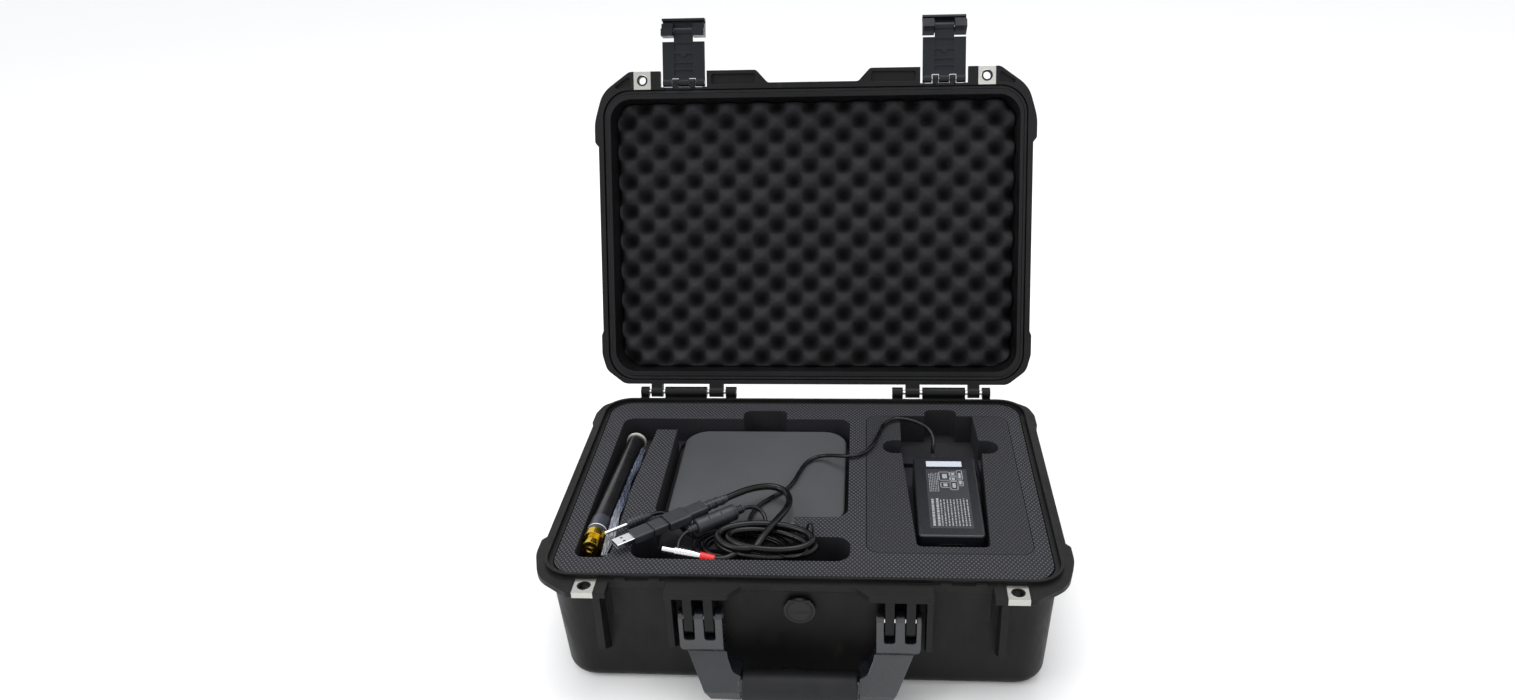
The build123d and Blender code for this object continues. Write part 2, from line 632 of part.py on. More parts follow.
# ---------------------------------------------------------------- handle
def handle_frame():
    """Two forked arms that lean forward below a crease, and the bar between them."""
    outline = [
        (HANDLE_IN, HANDLE_Z + PRONG_R), (HANDLE_OUT, HANDLE_Z + PRONG_R), (HANDLE_OUT, HANDLE_Z - 29),
        (HANDLE_OUT - 8, HANDLE_Z - 43), (GRIP_HALF + 25, GRIP_Z - 15), (GRIP_HALF + 1.5, GRIP_Z - 15),
        (GRIP_HALF + 1.5, GRIP_Z + 12), (GRIP_HALF + 9, GRIP_Z + 15), (HANDLE_IN - 2.5, GRIP_Z + 25),
        (HANDLE_IN, HANDLE_Z - 31),
    ]
    face = Rot(X=90) * plan_face(outline, [1, 1, 9, 14, 5, 0, 0, 7, 9, 8])
    plan_front = Pos(0, -HANDLE_Y + 20.5, 0) * extrude(face, amount=60, dir=(0, -1, 0))
    back = HANDLE_Y - ARM_T / 2
    front = HANDLE_Y + ARM_T / 2
    side = [
        (-front, HANDLE_Z + PRONG_R), (-front, HANDLE_Z - 31.5), (-front + 6, HANDLE_Z - 39),
        (-GRIP_Y - 11, GRIP_Z + 1), (-GRIP_Y - 9, GRIP_Z - 8), (-GRIP_Y + 1, GRIP_Z - 15),
        (-back - 3, GRIP_Z - 4), (-back, HANDLE_Z - 43),
        (-back, HANDLE_Z + PRONG_R),
    ]
    half = plan_front & side_profile(side, 40, 120)
    rounding = Pos(90, -HANDLE_Y, HANDLE_Z) * Rot(Y=90) * Cylinder(PRONG_R, 60)
    block = span_box(60, 120, -front - 1, -back + 1, HANDLE_Z, HANDLE_Z + PRONG_R + 1)
    half = cut(half, cut(block, rounding))
    slots = []
    for x in RIB_X:
        round_end = Pos(x, -HANDLE_Y, SLOT_Z + 3) * Box(SLOT_T, ARM_T + 12, 6)
        slot = span_box(x - SLOT_T / 2, x + SLOT_T / 2, -front - 1, -back + 1, SLOT_Z + 3, HANDLE_Z + 20)
        slots += [fillet(round_end.edges().filter_by(Axis.Y).sort_by(Axis.Z)[:2], 2.5), slot]
    bore = rod_x(HANDLE_IN - 1, HANDLE_OUT + 1, -HANDLE_Y, HANDLE_Z, HANDLE_PIN_R + RUN)
    half = cut(half, slots, bore)
    core = rod_x(-GRIP_HALF - 4, GRIP_HALF + 4, -GRIP_Y, GRIP_Z, GRIP_CORE_R)
    return fuse(both_sides(half), core)


put("handle_frame", handle_frame())
grip = rod_x(-GRIP_HALF, GRIP_HALF, -GRIP_Y, GRIP_Z, GRIP_R)
grip = fillet(grip.edges().filter_by(GeomType.CIRCLE), 2.0)
put("handle_grip", cut(grip, rod_x(-GRIP_HALF - 1, GRIP_HALF + 1, -GRIP_Y, GRIP_Z, GRIP_CORE_R)))


# ---------------------------------------------------------------- foam in the base
def foam_outline(z):
    """Half sizes of the foam at a height, inside the drafted walls."""
    share = (LIP_TOP + 1 - z) / (LIP_TOP + 1 - WALL)
    return (
        BASE_IN_X - DRAFT_X * share - FOAM_CLEAR,
        BASE_IN_Y - DRAFT_Y * share - FOAM_CLEAR,
        IN_R,
    )


def insert_hole(gap, z0, z1):
    x0, x1, y0, y1 = INSERT
    return pocket(x0 - gap, x1 + gap, y0 - gap, y1 + gap, z0, z1, INSERT_R + gap)


def foam_tray():
    tray = drafted(foam_outline(TRAY_BOTTOM), foam_outline(FOAM_TOP), TRAY_BOTTOM, FOAM_TOP)
    top = FOAM_TOP + 1
    px0, px1, py0, py1 = POLE_POCKET
    ux0, ux1, uy0, uy1 = UNIT_POCKET
    lx0, lx1, ly0, ly1 = LEAD_POCKET
    tx0, tx1, ty0, ty1 = TROUGH
    pole = plan_face(
        [(px0 + 2, py1), (px0, py0), (px1 - 9, py0), (px1 - 9, -20), (px1, py1)], [14, 10, 10, 0, 0]
    )
    tools = [
        slab_between(pole, POLE_FLOOR, top),
        pocket(px0 + 2, ux1, 98, uy1, POLE_FLOOR, top, 12),
        pocket(ux0, ux1, uy0, uy1, UNIT_FLOOR, top, POCKET_R),
        pocket(UNIT_NOTCH[0], UNIT_NOTCH[1], uy1 - 20, UNIT_NOTCH[2], UNIT_FLOOR, top, 8),
        pocket(lx0, lx1, ly0, ly1, LEAD_FLOOR, top, POCKET_R),
        pocket(tx0, tx1, ty0, ty1, TROUGH_Z, top, 8),
        insert_hole(INSERT_GAP, INSERT_FLOOR, top),
        pocket(BAY_NOTCH[0], BAY_NOTCH[1], INSERT[3] - 20, BAY_NOTCH[2], BAY_LEDGE_Z, top, 8),
    ]
    return cut(tray, tools)


def bay_plan(y0, y1):
    """Adapter bay between two y values: the sides close in towards the front."""
    def at(y):
        share = min(max((BAY_STEP_Y - y) / (BAY_STEP_Y - BAY_FRONT_Y), 0), 1)
        left = BAY_REAR[0] + (BAY_FRONT[0] - BAY_REAR[0]) * share
        right = BAY_REAR[1] + 4 + (BAY_FRONT[1] - BAY_REAR[1] - 4) * share
        return left, right
    l0, r0 = at(y0)
    l1, r1 = at(y1)
    if y0 < BAY_STEP_Y < y1:
        lm, rm = at(BAY_STEP_Y)
        points = [(l0, y0), (r0, y0), (rm, BAY_STEP_Y), (BAY_REAR[1], y1), (l1, y1), (lm, BAY_STEP_Y)]
        return plan_face(points, [6, 6, 0, 0, 0, 0])
    return plan_face([(l0, y0), (r0, y0), (r1, y1), (l1, y1)], [0, 0, 0, 0])


def foam_insert():
    block = insert_hole(0, INSERT_FLOOR + GAP, FOAM_TOP)
    top = FOAM_TOP + 1
    bay = slab_between(bay_plan(BAY_FRONT_Y, INSERT[3] + 1), BAY_LEDGE_Z, top)
    well = slab_between(bay_plan(BAY_FRONT_Y, BAY_LEDGE_Y), BAY_FLOOR, BAY_LEDGE_Z + 1)
    thumbs = pocket(
        THUMB_OUT[0], THUMB_OUT[1], THUMB_Y - THUMB_R, THUMB_Y + THUMB_R, THUMB_Z, top, THUMB_R - 1
    )
    return cut(block, bay, well, thumbs)


put("foam_tray", foam_tray())
put("foam_insert", foam_insert())
pad = drafted(foam_outline(PAD_BOTTOM), foam_outline(TRAY_BOTTOM - GAP), PAD_BOTTOM, TRAY_BOTTOM - GAP)
put("foam_pad", fillet(pad.faces().sort_by(Axis.Z)[0].edges(), BOTTOM_R - WALL))

# Egg-crate foam of the lid, kept as a plain block.
def egg_outline(z):
    """Half sizes of the lid foam at a height, inside the drafted walls."""
    share = (z - LID_BOTTOM + 1) / (PART_Z + LID_H - WALL - LID_BOTTOM + 1)
    return (
        LID_IN_X - LID_DRAFT * share - EGG_CLEAR,
        LID_IN_Y - LID_DRAFT * share - EGG_CLEAR,
        IN_R,
    )


egg_z = (PART_Z + EGG_PEAK, PART_Z + EGG_BACK)
egg = drafted(egg_outline(egg_z[0]), egg_outline(egg_z[1]), *egg_z)
egg = fillet(egg.faces().sort_by(Axis.Z)[-1].edges(), LID_TOP_R - WALL)
put("lid_foam", hinged_open(egg))


# ---------------------------------------------------------------- power adapter
def hollow_box(x, y, z0, z1, open_up, wall, radius):
    """Half of a moulded housing: a box with rounded edges, open on one side."""
    body = pocket(x[0], x[1], y[0], y[1], z0, z1, radius)
    flat = body.faces().sort_by(Axis.Z)
    outer_face = flat[0] if open_up else flat[-1]
    body = fillet(outer_face.edges(), min(2.0, 0.6 * radius))
    lift = wall if open_up else -wall
    hollow = pocket(
        x[0] + wall, x[1] - wall, y[0] + wall, y[1] - wall, z0 + lift, z1 + lift, max(radius - wall, 0.8)
    )
    return cut(body, hollow)


ad_low = hollow_box(AD_X, AD_Y, AD_Z[0], AD_SPLIT, True, AD_WALL, AD_R)
ad_high = hollow_box(AD_X, AD_Y, AD_SPLIT + 0.2, AD_Z[1], False, AD_WALL, AD_R)
inlet_x = (AD_X[0] + AD_X[1]) / 2
inlet_z = AD_SPLIT + 0.1
inlet_hole = pocket(
    inlet_x - INLET_W / 2, inlet_x + INLET_W / 2, AD_Y[0] - 1, AD_Y[0] + AD_WALL + 1,
    inlet_z - INLET_H / 2, inlet_z + INLET_H / 2, 0.5,
)
relief_hole = Pos(AD_LEAD_X, AD_Y[1], AD_LEAD_Z) * Rot(X=90) * Cylinder(4.2, 12)
put("adapter_lower_cover", cut(ad_low, inlet_hole))
label_x = (AD_X[0] + 12, AD_X[1] - 10)
label_y = (AD_Y[0] + 12, AD_Y[1] - 24)
sticker_x = (AD_X[0] + 13, AD_X[1] - 14)
sticker_y = (AD_Y[1] - 19, AD_Y[1] - 9)
put("adapter_upper_cover", cut(ad_high, inlet_hole, relief_hole))
put("adapter_label", span_box(*label_x, *label_y, AD_Z[1], AD_Z[1] + LABEL_T))
put("adapter_sticker", span_box(*sticker_x, *sticker_y, AD_Z[1], AD_Z[1] + LABEL_T))
inlet_body = span_box(
    inlet_x - INLET_W / 2, inlet_x + INLET_W / 2, AD_Y[0], AD_Y[0] + INLET_D,
    inlet_z - INLET_H / 2, inlet_z + INLET_H / 2,
)
inlet_well = pocket(
    inlet_x - INLET_W / 2 + 1.6, inlet_x + INLET_W / 2 - 1.6, AD_Y[0] - 1, AD_Y[0] + INLET_D - 2,
    inlet_z - INLET_H / 2 + 1.6, inlet_z + INLET_H / 2 - 1.6, 1,
)
inlet_pins = [
    Pos(inlet_x + dx, AD_Y[0] + INLET_D / 2 + 2, inlet_z + dz) * Rot(X=90) * Box(2, 4, INLET_D - 8)
    for dx, dz in ((-6.5, -1.5), (0, 2.0), (6.5, -1.5))
]
put("adapter_inlet", fuse(cut(inlet_body, inlet_well), inlet_pins))
board = span_box(
    AD_X[0] + 5, AD_X[1] - 5, AD_Y[0] + INLET_D + 4, AD_Y[1] - 8, AD_Z[0] + 5, AD_Z[0] + 6.8
)
coil_box = span_box(AD_X[0] + 14, AD_X[1] - 14, AD_Y[0] + 40, AD_Y[0] + 78, AD_Z[0] + 6, AD_Z[1] - 6)
caps = [
    Pos(AD_X[0] + 22 + 18 * i, AD_Y[1] - 30, AD_Z[0] + 6 + 10) * Cylinder(7.5, 21) for i in range(2)
]
put("adapter_board", fuse(board, coil_box, caps))
relief = Cone(5.2, 2.9, AD_RELIEF)
relief = fuse(relief, Pos(0, 0, -AD_RELIEF / 2 - 1.5) * Cylinder(4.1, 3.2))
put("adapter_relief", Pos(AD_LEAD_X, AD_Y[1] + AD_RELIEF / 2, AD_LEAD_Z) * Rot(X=-90) * relief)

# ---------------------------------------------------------------- grey flat unit
unit_low = hollow_box(UNIT_X, UNIT_Y, UNIT_Z[0], UNIT_SPLIT, True, UNIT_WALL, UNIT_R)
unit_high = hollow_box(UNIT_X, UNIT_Y, UNIT_SPLIT + UNIT_SEAM, UNIT_Z[1], False, UNIT_WALL, UNIT_R)
put("unit_lower_shell", unit_low)
put("unit_upper_shell", unit_high)
put(
    "unit_panel",
    pocket(
        UNIT_X[0] + 8, UNIT_X[1] - 8, UNIT_Y[0] + 8, UNIT_Y[1] - 8, UNIT_Z[0] + UNIT_WALL + GAP,
        UNIT_Z[0] + UNIT_WALL + 6, UNIT_R - 6,
    ),
)

# ---------------------------------------------------------------- pole
pole_at = Pos(*POLE_FAR) * Rot(Z=POLE_YAW) * Rot(X=90 - POLE_PITCH)


def pole_piece(z0, length, radius, bore=0.0):
    """Round piece of the pole, z0 counted from the far end."""
    piece = Pos(0, 0, z0 + length / 2) * Cylinder(radius, length)
    if bore:
        piece = cut(piece, Pos(0, 0, z0 + length / 2) * Cylinder(bore, length + 2))
    return pole_at * piece


collar_z = RING_L + TUBE_L
brass_z = collar_z + COLLAR_L
put("pole_end_ring", pole_piece(0, RING_L, RING_R, TUBE_BORE))
put("pole_tube", pole_piece(RING_L, TUBE_L, TUBE_R, TUBE_BORE))
line_z = collar_z + LINE_AT
put("pole_collar", fuse(
    pole_piece(collar_z, LINE_AT, COLLAR_R), pole_piece(line_z, LINE_W, COLLAR_R - 1.2),
    pole_piece(line_z + LINE_W, COLLAR_L - LINE_AT - LINE_W, COLLAR_R),
))
put("pole_collar_line", pole_piece(line_z, LINE_W, COLLAR_R, COLLAR_R - 1.2))
neck_z = brass_z + BRASS_FLANGE[1]
nose_z = neck_z + BRASS_NECK[1]
brass = fuse(
    pole_piece(brass_z, BRASS_FLANGE[1], BRASS_FLANGE[0]),
    pole_piece(neck_z, BRASS_NECK[1], BRASS_NECK[0]),
    pole_piece(nose_z, BRASS_NOSE[1], BRASS_NOSE[0]),
)
brass_end = nose_z + BRASS_NOSE[1]
put("pole_brass_adaptor", cut(brass, pole_piece(brass_end - 12, 14, BRASS_BORE)))
put("pole_adaptor_pin", pole_piece(brass_end - 12, NOSE_PIN[1], NOSE_PIN[0]))

# Clear film bag: a strip on each side of the pole.
film_right = plan_face(
    [(-182.8, 62), (-187.0, -60), (-187.2, -88), (-178, -88), (-178, 10), (-174, 62)], [0, 0, 0, 0, 0, 0]
)
film_left = plan_face([(-207.2, 62), (-203.8, 62), (-205.8, 6), (-207.2, 6)], [0, 0, 0, 0])
film = [slab_between(film_right, 122.6, 129.6), slab_between(film_left, 112, 131.5)]
film_low = plan_face(
    [(-187.6, -90), (-177.5, -90), (-178.0, -120), (-181.5, -127), (-186.0, -127)], [0, 0, 0, 0, 0]
)
film.append(slab_between(film_low, 121, 128))
put("film_bag", Compound(children=film))


# ---------------------------------------------------------------- leads
def tube(points, radius, label):
    """Round tube along straight runs joined by tangent arcs, each as large as its runs allow."""
    vectors = [Vector(*point) for point in points]
    radii = []
    for before, here, after in zip(vectors, vectors[1:], vectors[2:]):
        run_in = here - before
        run_out = after - here
        turn = math.radians(run_in.get_angle(run_out))
        radii.append(0.45 * min(run_in.length, run_out.length) / math.tan(turn / 2))
    path = FilletPolyline(*points, radius=radii) if radii else Line(*points)
    section = Plane(origin=points[0], z_dir=vectors[1] - vectors[0]) * Circle(radius)
    solid = sweep(section, path=path)
    ratio = solid.volume / (math.pi * radius**2 * path.length)
    print(label, "length", round(path.length, 1), "volume ratio", round(ratio, 4),
          "radii", [round(r, 1) for r in radii])
    return solid


def coil_solid(coil):
    """Outer shape of a coil: an oval slab, kept clear of the foam beside it."""
    x, y, half_x, half_y, turn, z0, z1 = coil
    oval = slab_between(Pos(x, y) * Rot(Z=turn) * Ellipse(half_x, half_y), z0, z1)
    bank = span_box(TROUGH[1] - 0.6, 80, LEAD_POCKET[3] - 0.6, 0, 80, FOAM_TOP + GAP)
    front = span_box(-300, 300, -200, LEAD_POCKET[2] + 0.6, 80, FOAM_TOP + GAP)
    return cut(oval, bank, front)


DC_LEAD = [
    (130.0, 72.0, 113.0), (130.0, 83.0, 113.0), (132.5, 96.0, 117.0), (129.0, 108.0, 124.0),
    (116.0, 114.0, 129.5), (101.5, 118.5, 131.6), (88.0, 118.0, 131.8), (79.0, 108.0, 131.4),
    (74.5, 93.5, 131.2), (70.5, 78.0, 131.2), (65.5, 61.0, 131.2), (56.5, 45.0, 131.4),
    (42.0, 39.0, 132.0), (28.5, 47.0, 128.0), (16.5, 56.0, 122.5), (4.5, 56.0, 119.8),
    (-4.0, 46.0, 119.0), (-9.0, 30.5, 119.0), (-13.0, 14.0, 119.0), (-20.0, -3.0, 119.0),
    (-31.5, -14.5, 119.0), (-42.0, -26.5, 119.0), (-50.0, -40.0, 119.4), (-54.0, -57.0, 119.6),
    (-55.0, -73.0, 117.0),
]
FERRITE_OUT = [
    (-59.4, -54.4, 130.4), (-51.0, -49.5, 129.4), (-42.5, -50.5, 126.0), (-37.0, -58.0, 121.0),
    (-38.0, -75.0, 117.0),
]
FERRITE_IN = [
    (-108.1, -92.5, 130.4), (-113.8, -99.5, 128.2), (-116.5, -108.5, 124.5), (-113.5, -117.5, 120.5),
    (-105.0, -122.0, 117.6), (-93.5, -120.5, 116.6),
]
BARREL_LEAD = [
    (-147.1, -72.7, 133.8), (-138.6, -65.9, 133.6), (-129.5, -66.5, 129.0), (-121.0, -72.0, 123.5),
    (-112.0, -79.5, 118.4), (-101.0, -85.0, 116.6),
]
USB_LOOP = [
    (-76.5, -46.8, 136.6), (-63.2, -34.6, 136.4), (-48.8, -21.5, 133.2), (-33.0, -14.0, 129.8),
    (-20.0, -21.0, 128.6), (-14.6, -37.0, 129.2), (-17.0, -56.0, 131.2), (-23.5, -75.0, 133.8),
    (-30.8, -93.5, 135.4), (-37.3, -109.5, 134.2), (-42.0, -120.5, 130.8),
]
USB_TAIL = [
    (-79.0, -127.6, 124.4), (-71.5, -127.6, 124.0), (-64.0, -123.5, 124.6), (-57.0, -116.0, 125.6),
]

dc_runs = [
    tube(DC_LEAD, DC_R, "dc_lead"), tube(FERRITE_OUT, DC_R, "dc_ferrite_out"),
    tube(FERRITE_IN, DC_R, "dc_ferrite_in"), tube(BARREL_LEAD, DC_R, "dc_barrel"),
]
put("dc_lead", dc_runs[0])
put("dc_lead_links", Compound(children=dc_runs[1:]))
put("dc_coil", coil_solid(DC_COIL))
put("usb_lead", tube(USB_LOOP, USB_R, "usb_loop"))
put("usb_lead_tail", tube(USB_TAIL, USB_R, "usb_tail"))
put("usb_coil", coil_solid(USB_COIL))

# Ferrite on the DC lead.
ferrite_at = along(FERRITE_A, FERRITE_B)
ferrite_l = length_between(FERRITE_A, FERRITE_B)
core = Pos(0, 0, ferrite_l / 2) * Cylinder(FERRITE_CORE_R, ferrite_l - 6)
cover = fillet(Cylinder(FERRITE_R, ferrite_l).edges().filter_by(GeomType.CIRCLE), 2.2)
cover = Pos(0, 0, ferrite_l / 2) * cover
marks = [
    Rot(Z=turn) * Pos(0, FERRITE_R, ferrite_l * share) * Box(7.0, 1.8, 0.9)
    for share, turn in ((0.30, 18), (0.60, 18))
]
marks += [
    cut(Pos(0, 0, ferrite_l - 3.6) * Cylinder(FERRITE_R + 1, 0.8), Pos(0, 0, ferrite_l / 2) * Cylinder(
        FERRITE_R - 0.5, ferrite_l + 2))
]
cover = cut(cover, marks)
put("ferrite_core", ferrite_at * cut(core, Pos(0, 0, ferrite_l / 2) * Cylinder(DC_R, ferrite_l)))
put("ferrite_cover", ferrite_at * cut(cover, core))
ends = [
    fuse(
        Pos(0, 0, ferrite_l + FERRITE_RELIEF / 2) * Cone(3.8, 2.6, FERRITE_RELIEF),
        [Pos(0, 0, ferrite_l + z) * Cylinder(4.2, 1.3) for z in (2.0, 4.6, 7.2)],
    ),
    fuse(
        Pos(0, 0, -FERRITE_RELIEF / 2) * Cone(2.6, 3.8, FERRITE_RELIEF),
        [Pos(0, 0, -z) * Cylinder(4.2, 1.3) for z in (2.0, 4.6, 7.2)],
    ),
]
put("ferrite_reliefs", Compound(children=[ferrite_at * end for end in ends]))

# Barrel plug of the DC lead.
barrel_at = along(BARREL_TIP, BARREL_MID)
barrel_l = length_between(BARREL_TIP, BARREL_MID)
put("barrel_pin", barrel_at * Pos(0, 0, barrel_l / 2) * Cylinder(BARREL_R, barrel_l))
boot = Pos(0, 0, barrel_l + BOOT_L * 0.3) * Cylinder(BOOT_R, BOOT_L * 0.6)
boot_end = Pos(0, 0, barrel_l + BOOT_L * 0.8) * Cone(BOOT_R, 2.7, BOOT_L * 0.4)
boot_rings = [Pos(0, 0, barrel_l + 2.6 + 3.2 * i) * Cylinder(BOOT_R + 0.8, 1.7) for i in range(5)]
put("barrel_boot", barrel_at * fuse(boot, boot_end, boot_rings))

# Plug, coupler and relief of the data lead.
plug_at = along(PLUG_TIP, PLUG_END)
plug_l = length_between(PLUG_TIP, PLUG_END)


def plug_block(z0, z1, width, height, radius):
    """Block on the plug's axis, width across it and height upwards."""
    body = Pos(0, 0, (z0 + z1) / 2) * Box(width, height, z1 - z0)
    return fillet(body.edges().filter_by(Axis.Z), radius)


shell_out = plug_block(0, SHELL_L, SHELL_W, SHELL_H, 0.5)
shell_in = plug_block(-1, SHELL_L - 1, SHELL_W - 0.8, SHELL_H - 0.8, 0.3)
shell_slots = [Pos(dx, 0, 8.5) * Box(2.2, SHELL_H + 2, 2.4) for dx in (-2.8, 2.8)]
insulator = plug_block(0.6, SHELL_L - 1, SHELL_W - 1.4, 1.8, 0.2)
put("usb_shell", plug_at * cut(shell_out, shell_in, shell_slots))
put("usb_tongue", plug_at * Pos(0, -0.8, 0) * insulator)
front_body = plug_block(SHELL_L, BODY_ENDS[0], BODY_W, BODY_H, 1.6)
rear_body = plug_block(BODY_ENDS[1], BODY_ENDS[2], BODY_W, BODY_H, 1.6)
body_core = plug_block(SHELL_L + 1, BODY_ENDS[2] + SLIT, BODY_W - 3, BODY_H - 2.4, 1)
put("usb_body", plug_at * fuse(front_body, rear_body, body_core))
coupler = plug_block(BODY_ENDS[2] + SLIT, COUPLER_END, COUPLER_W, COUPLER_H, 1.6)
socket = plug_block(COUPLER_END - 1, SOCKET_END, SOCKET_W, SOCKET_H, 1.4)
socket_end = plug_block(SOCKET_END - 1.6, SOCKET_END, SOCKET_W + 1.0, SOCKET_H + 0.8, 1.4)
put("usb_coupler", plug_at * fuse(coupler, socket, socket_end))
relief_l = plug_l - SOCKET_END
relief_parts = [Pos(0, 0, SOCKET_END + relief_l / 2) * Cone(4.2, USB_R + 0.4, relief_l)]
relief_rings = int((relief_l - RELIEF_RING) / RELIEF_PITCH) + 1
for i in range(relief_rings):
    z = SOCKET_END + RELIEF_RING / 2 + RELIEF_PITCH * i
    ring_r = PLUG_RELIEF_R - 0.14 * i
    relief_parts.append(Pos(0, 0, z) * Cylinder(ring_r, RELIEF_RING))
    if i + 1 < relief_rings:
        bridge_x = 2.6 if i % 2 else -2.6
        bridge = Box(2.4, 2 * ring_r - 2.4, RELIEF_PITCH)
        relief_parts.append(Pos(bridge_x, 0, z + RELIEF_PITCH / 2) * bridge)
put("usb_relief", plug_at * fuse(relief_parts))

# Round connector at the other end of the data lead.
con_at = along(CON_NOSE, CON_END)
con_total = length_between(CON_NOSE, CON_END)
nose = cut(Pos(0, 0, CON_NOSE_L / 2) * Cylinder(CON_NOSE_R, CON_NOSE_L),
           Pos(0, 0, 3) * Cylinder(CON_NOSE_R - 0.6, 8))
put("round_connector_nose", con_at * nose)
con_shell = fuse(
    Pos(0, 0, CON_NOSE_L + CON_L * 0.3) * Cylinder(CON_R, CON_L * 0.6),
    Pos(0, 0, CON_NOSE_L + CON_L * 0.8) * Cone(CON_R - 0.3, CON_R - 1.3, CON_L * 0.4),
)
grooves = [
    cut(Pos(0, 0, z) * Cylinder(CON_R + 2, 1), Pos(0, 0, z) * Cylinder(CON_R - 0.6, 2))
    for z in (CON_NOSE_L + 3.5, CON_NOSE_L + 6.5, CON_NOSE_L + 9.5, CON_NOSE_L + 12.5)
]
put("round_connector_shell", con_at * cut(con_shell, grooves))
con_boot_l = con_total - CON_NOSE_L - CON_L
con_boot = Pos(0, 0, con_total - con_boot_l / 2) * Cone(CON_BOOT_R + 0.4, USB_R + 0.3, con_boot_l)
put("round_connector_boot", con_at * con_boot)

# ---------------------------------------------------------------- write
os.makedirs("parts", exist_ok=True)
for name, shape in NODES.items():
    export_step(shape, os.path.join("parts", f"{name}.step"))
print(len(NODES), "nodes")
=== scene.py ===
"""Looks of an open carrying case for a handheld scanner kit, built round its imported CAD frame."""
import math

import bmesh
import bpy
import numpy as np
from mathutils import Matrix, Vector


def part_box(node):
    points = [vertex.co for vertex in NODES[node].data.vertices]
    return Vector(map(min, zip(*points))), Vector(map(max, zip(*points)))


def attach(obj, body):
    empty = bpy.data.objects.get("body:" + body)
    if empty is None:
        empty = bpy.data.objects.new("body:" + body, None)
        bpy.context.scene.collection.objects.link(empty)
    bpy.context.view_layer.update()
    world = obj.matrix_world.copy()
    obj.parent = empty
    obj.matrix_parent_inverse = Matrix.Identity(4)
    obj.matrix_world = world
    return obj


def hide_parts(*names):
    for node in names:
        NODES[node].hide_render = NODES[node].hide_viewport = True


bl_info = {
    "name": "Scanner kit case",
    "version": (1, 0, 0),
    "blender": (4, 5, 0),
    "location": "View3D > Sidebar > Kit case",
    "description": "Foam, leads, film, labels and finishes of a scanner kit's carrying case",
    "category": "Object",
}

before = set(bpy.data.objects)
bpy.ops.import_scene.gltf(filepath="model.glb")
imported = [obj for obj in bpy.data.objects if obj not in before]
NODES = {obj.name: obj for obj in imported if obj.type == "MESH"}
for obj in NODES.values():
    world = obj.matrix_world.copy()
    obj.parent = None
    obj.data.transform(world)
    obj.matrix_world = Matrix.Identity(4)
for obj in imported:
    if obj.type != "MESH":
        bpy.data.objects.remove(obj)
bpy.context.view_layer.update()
MM = 0.001

# Lid: closed pieces are drawn flat over the base and turned to the open stop about the hinge line.
HINGE = np.array([0.0, 0.1775, 0.1315])
OPEN = math.radians(-110.4)


# ------------------------------------------------------------------ colour and node helpers
def rgb(code):
    """Linear colour of an sRGB hex code such as 3d3e42."""
    parts = [int(code[i:i + 2], 16) / 255 for i in (0, 2, 4)]
    line = [c / 12.92 if c <= 0.04045 else ((c + 0.055) / 1.055) ** 2.4 for c in parts]
    return (*line, 1.0)


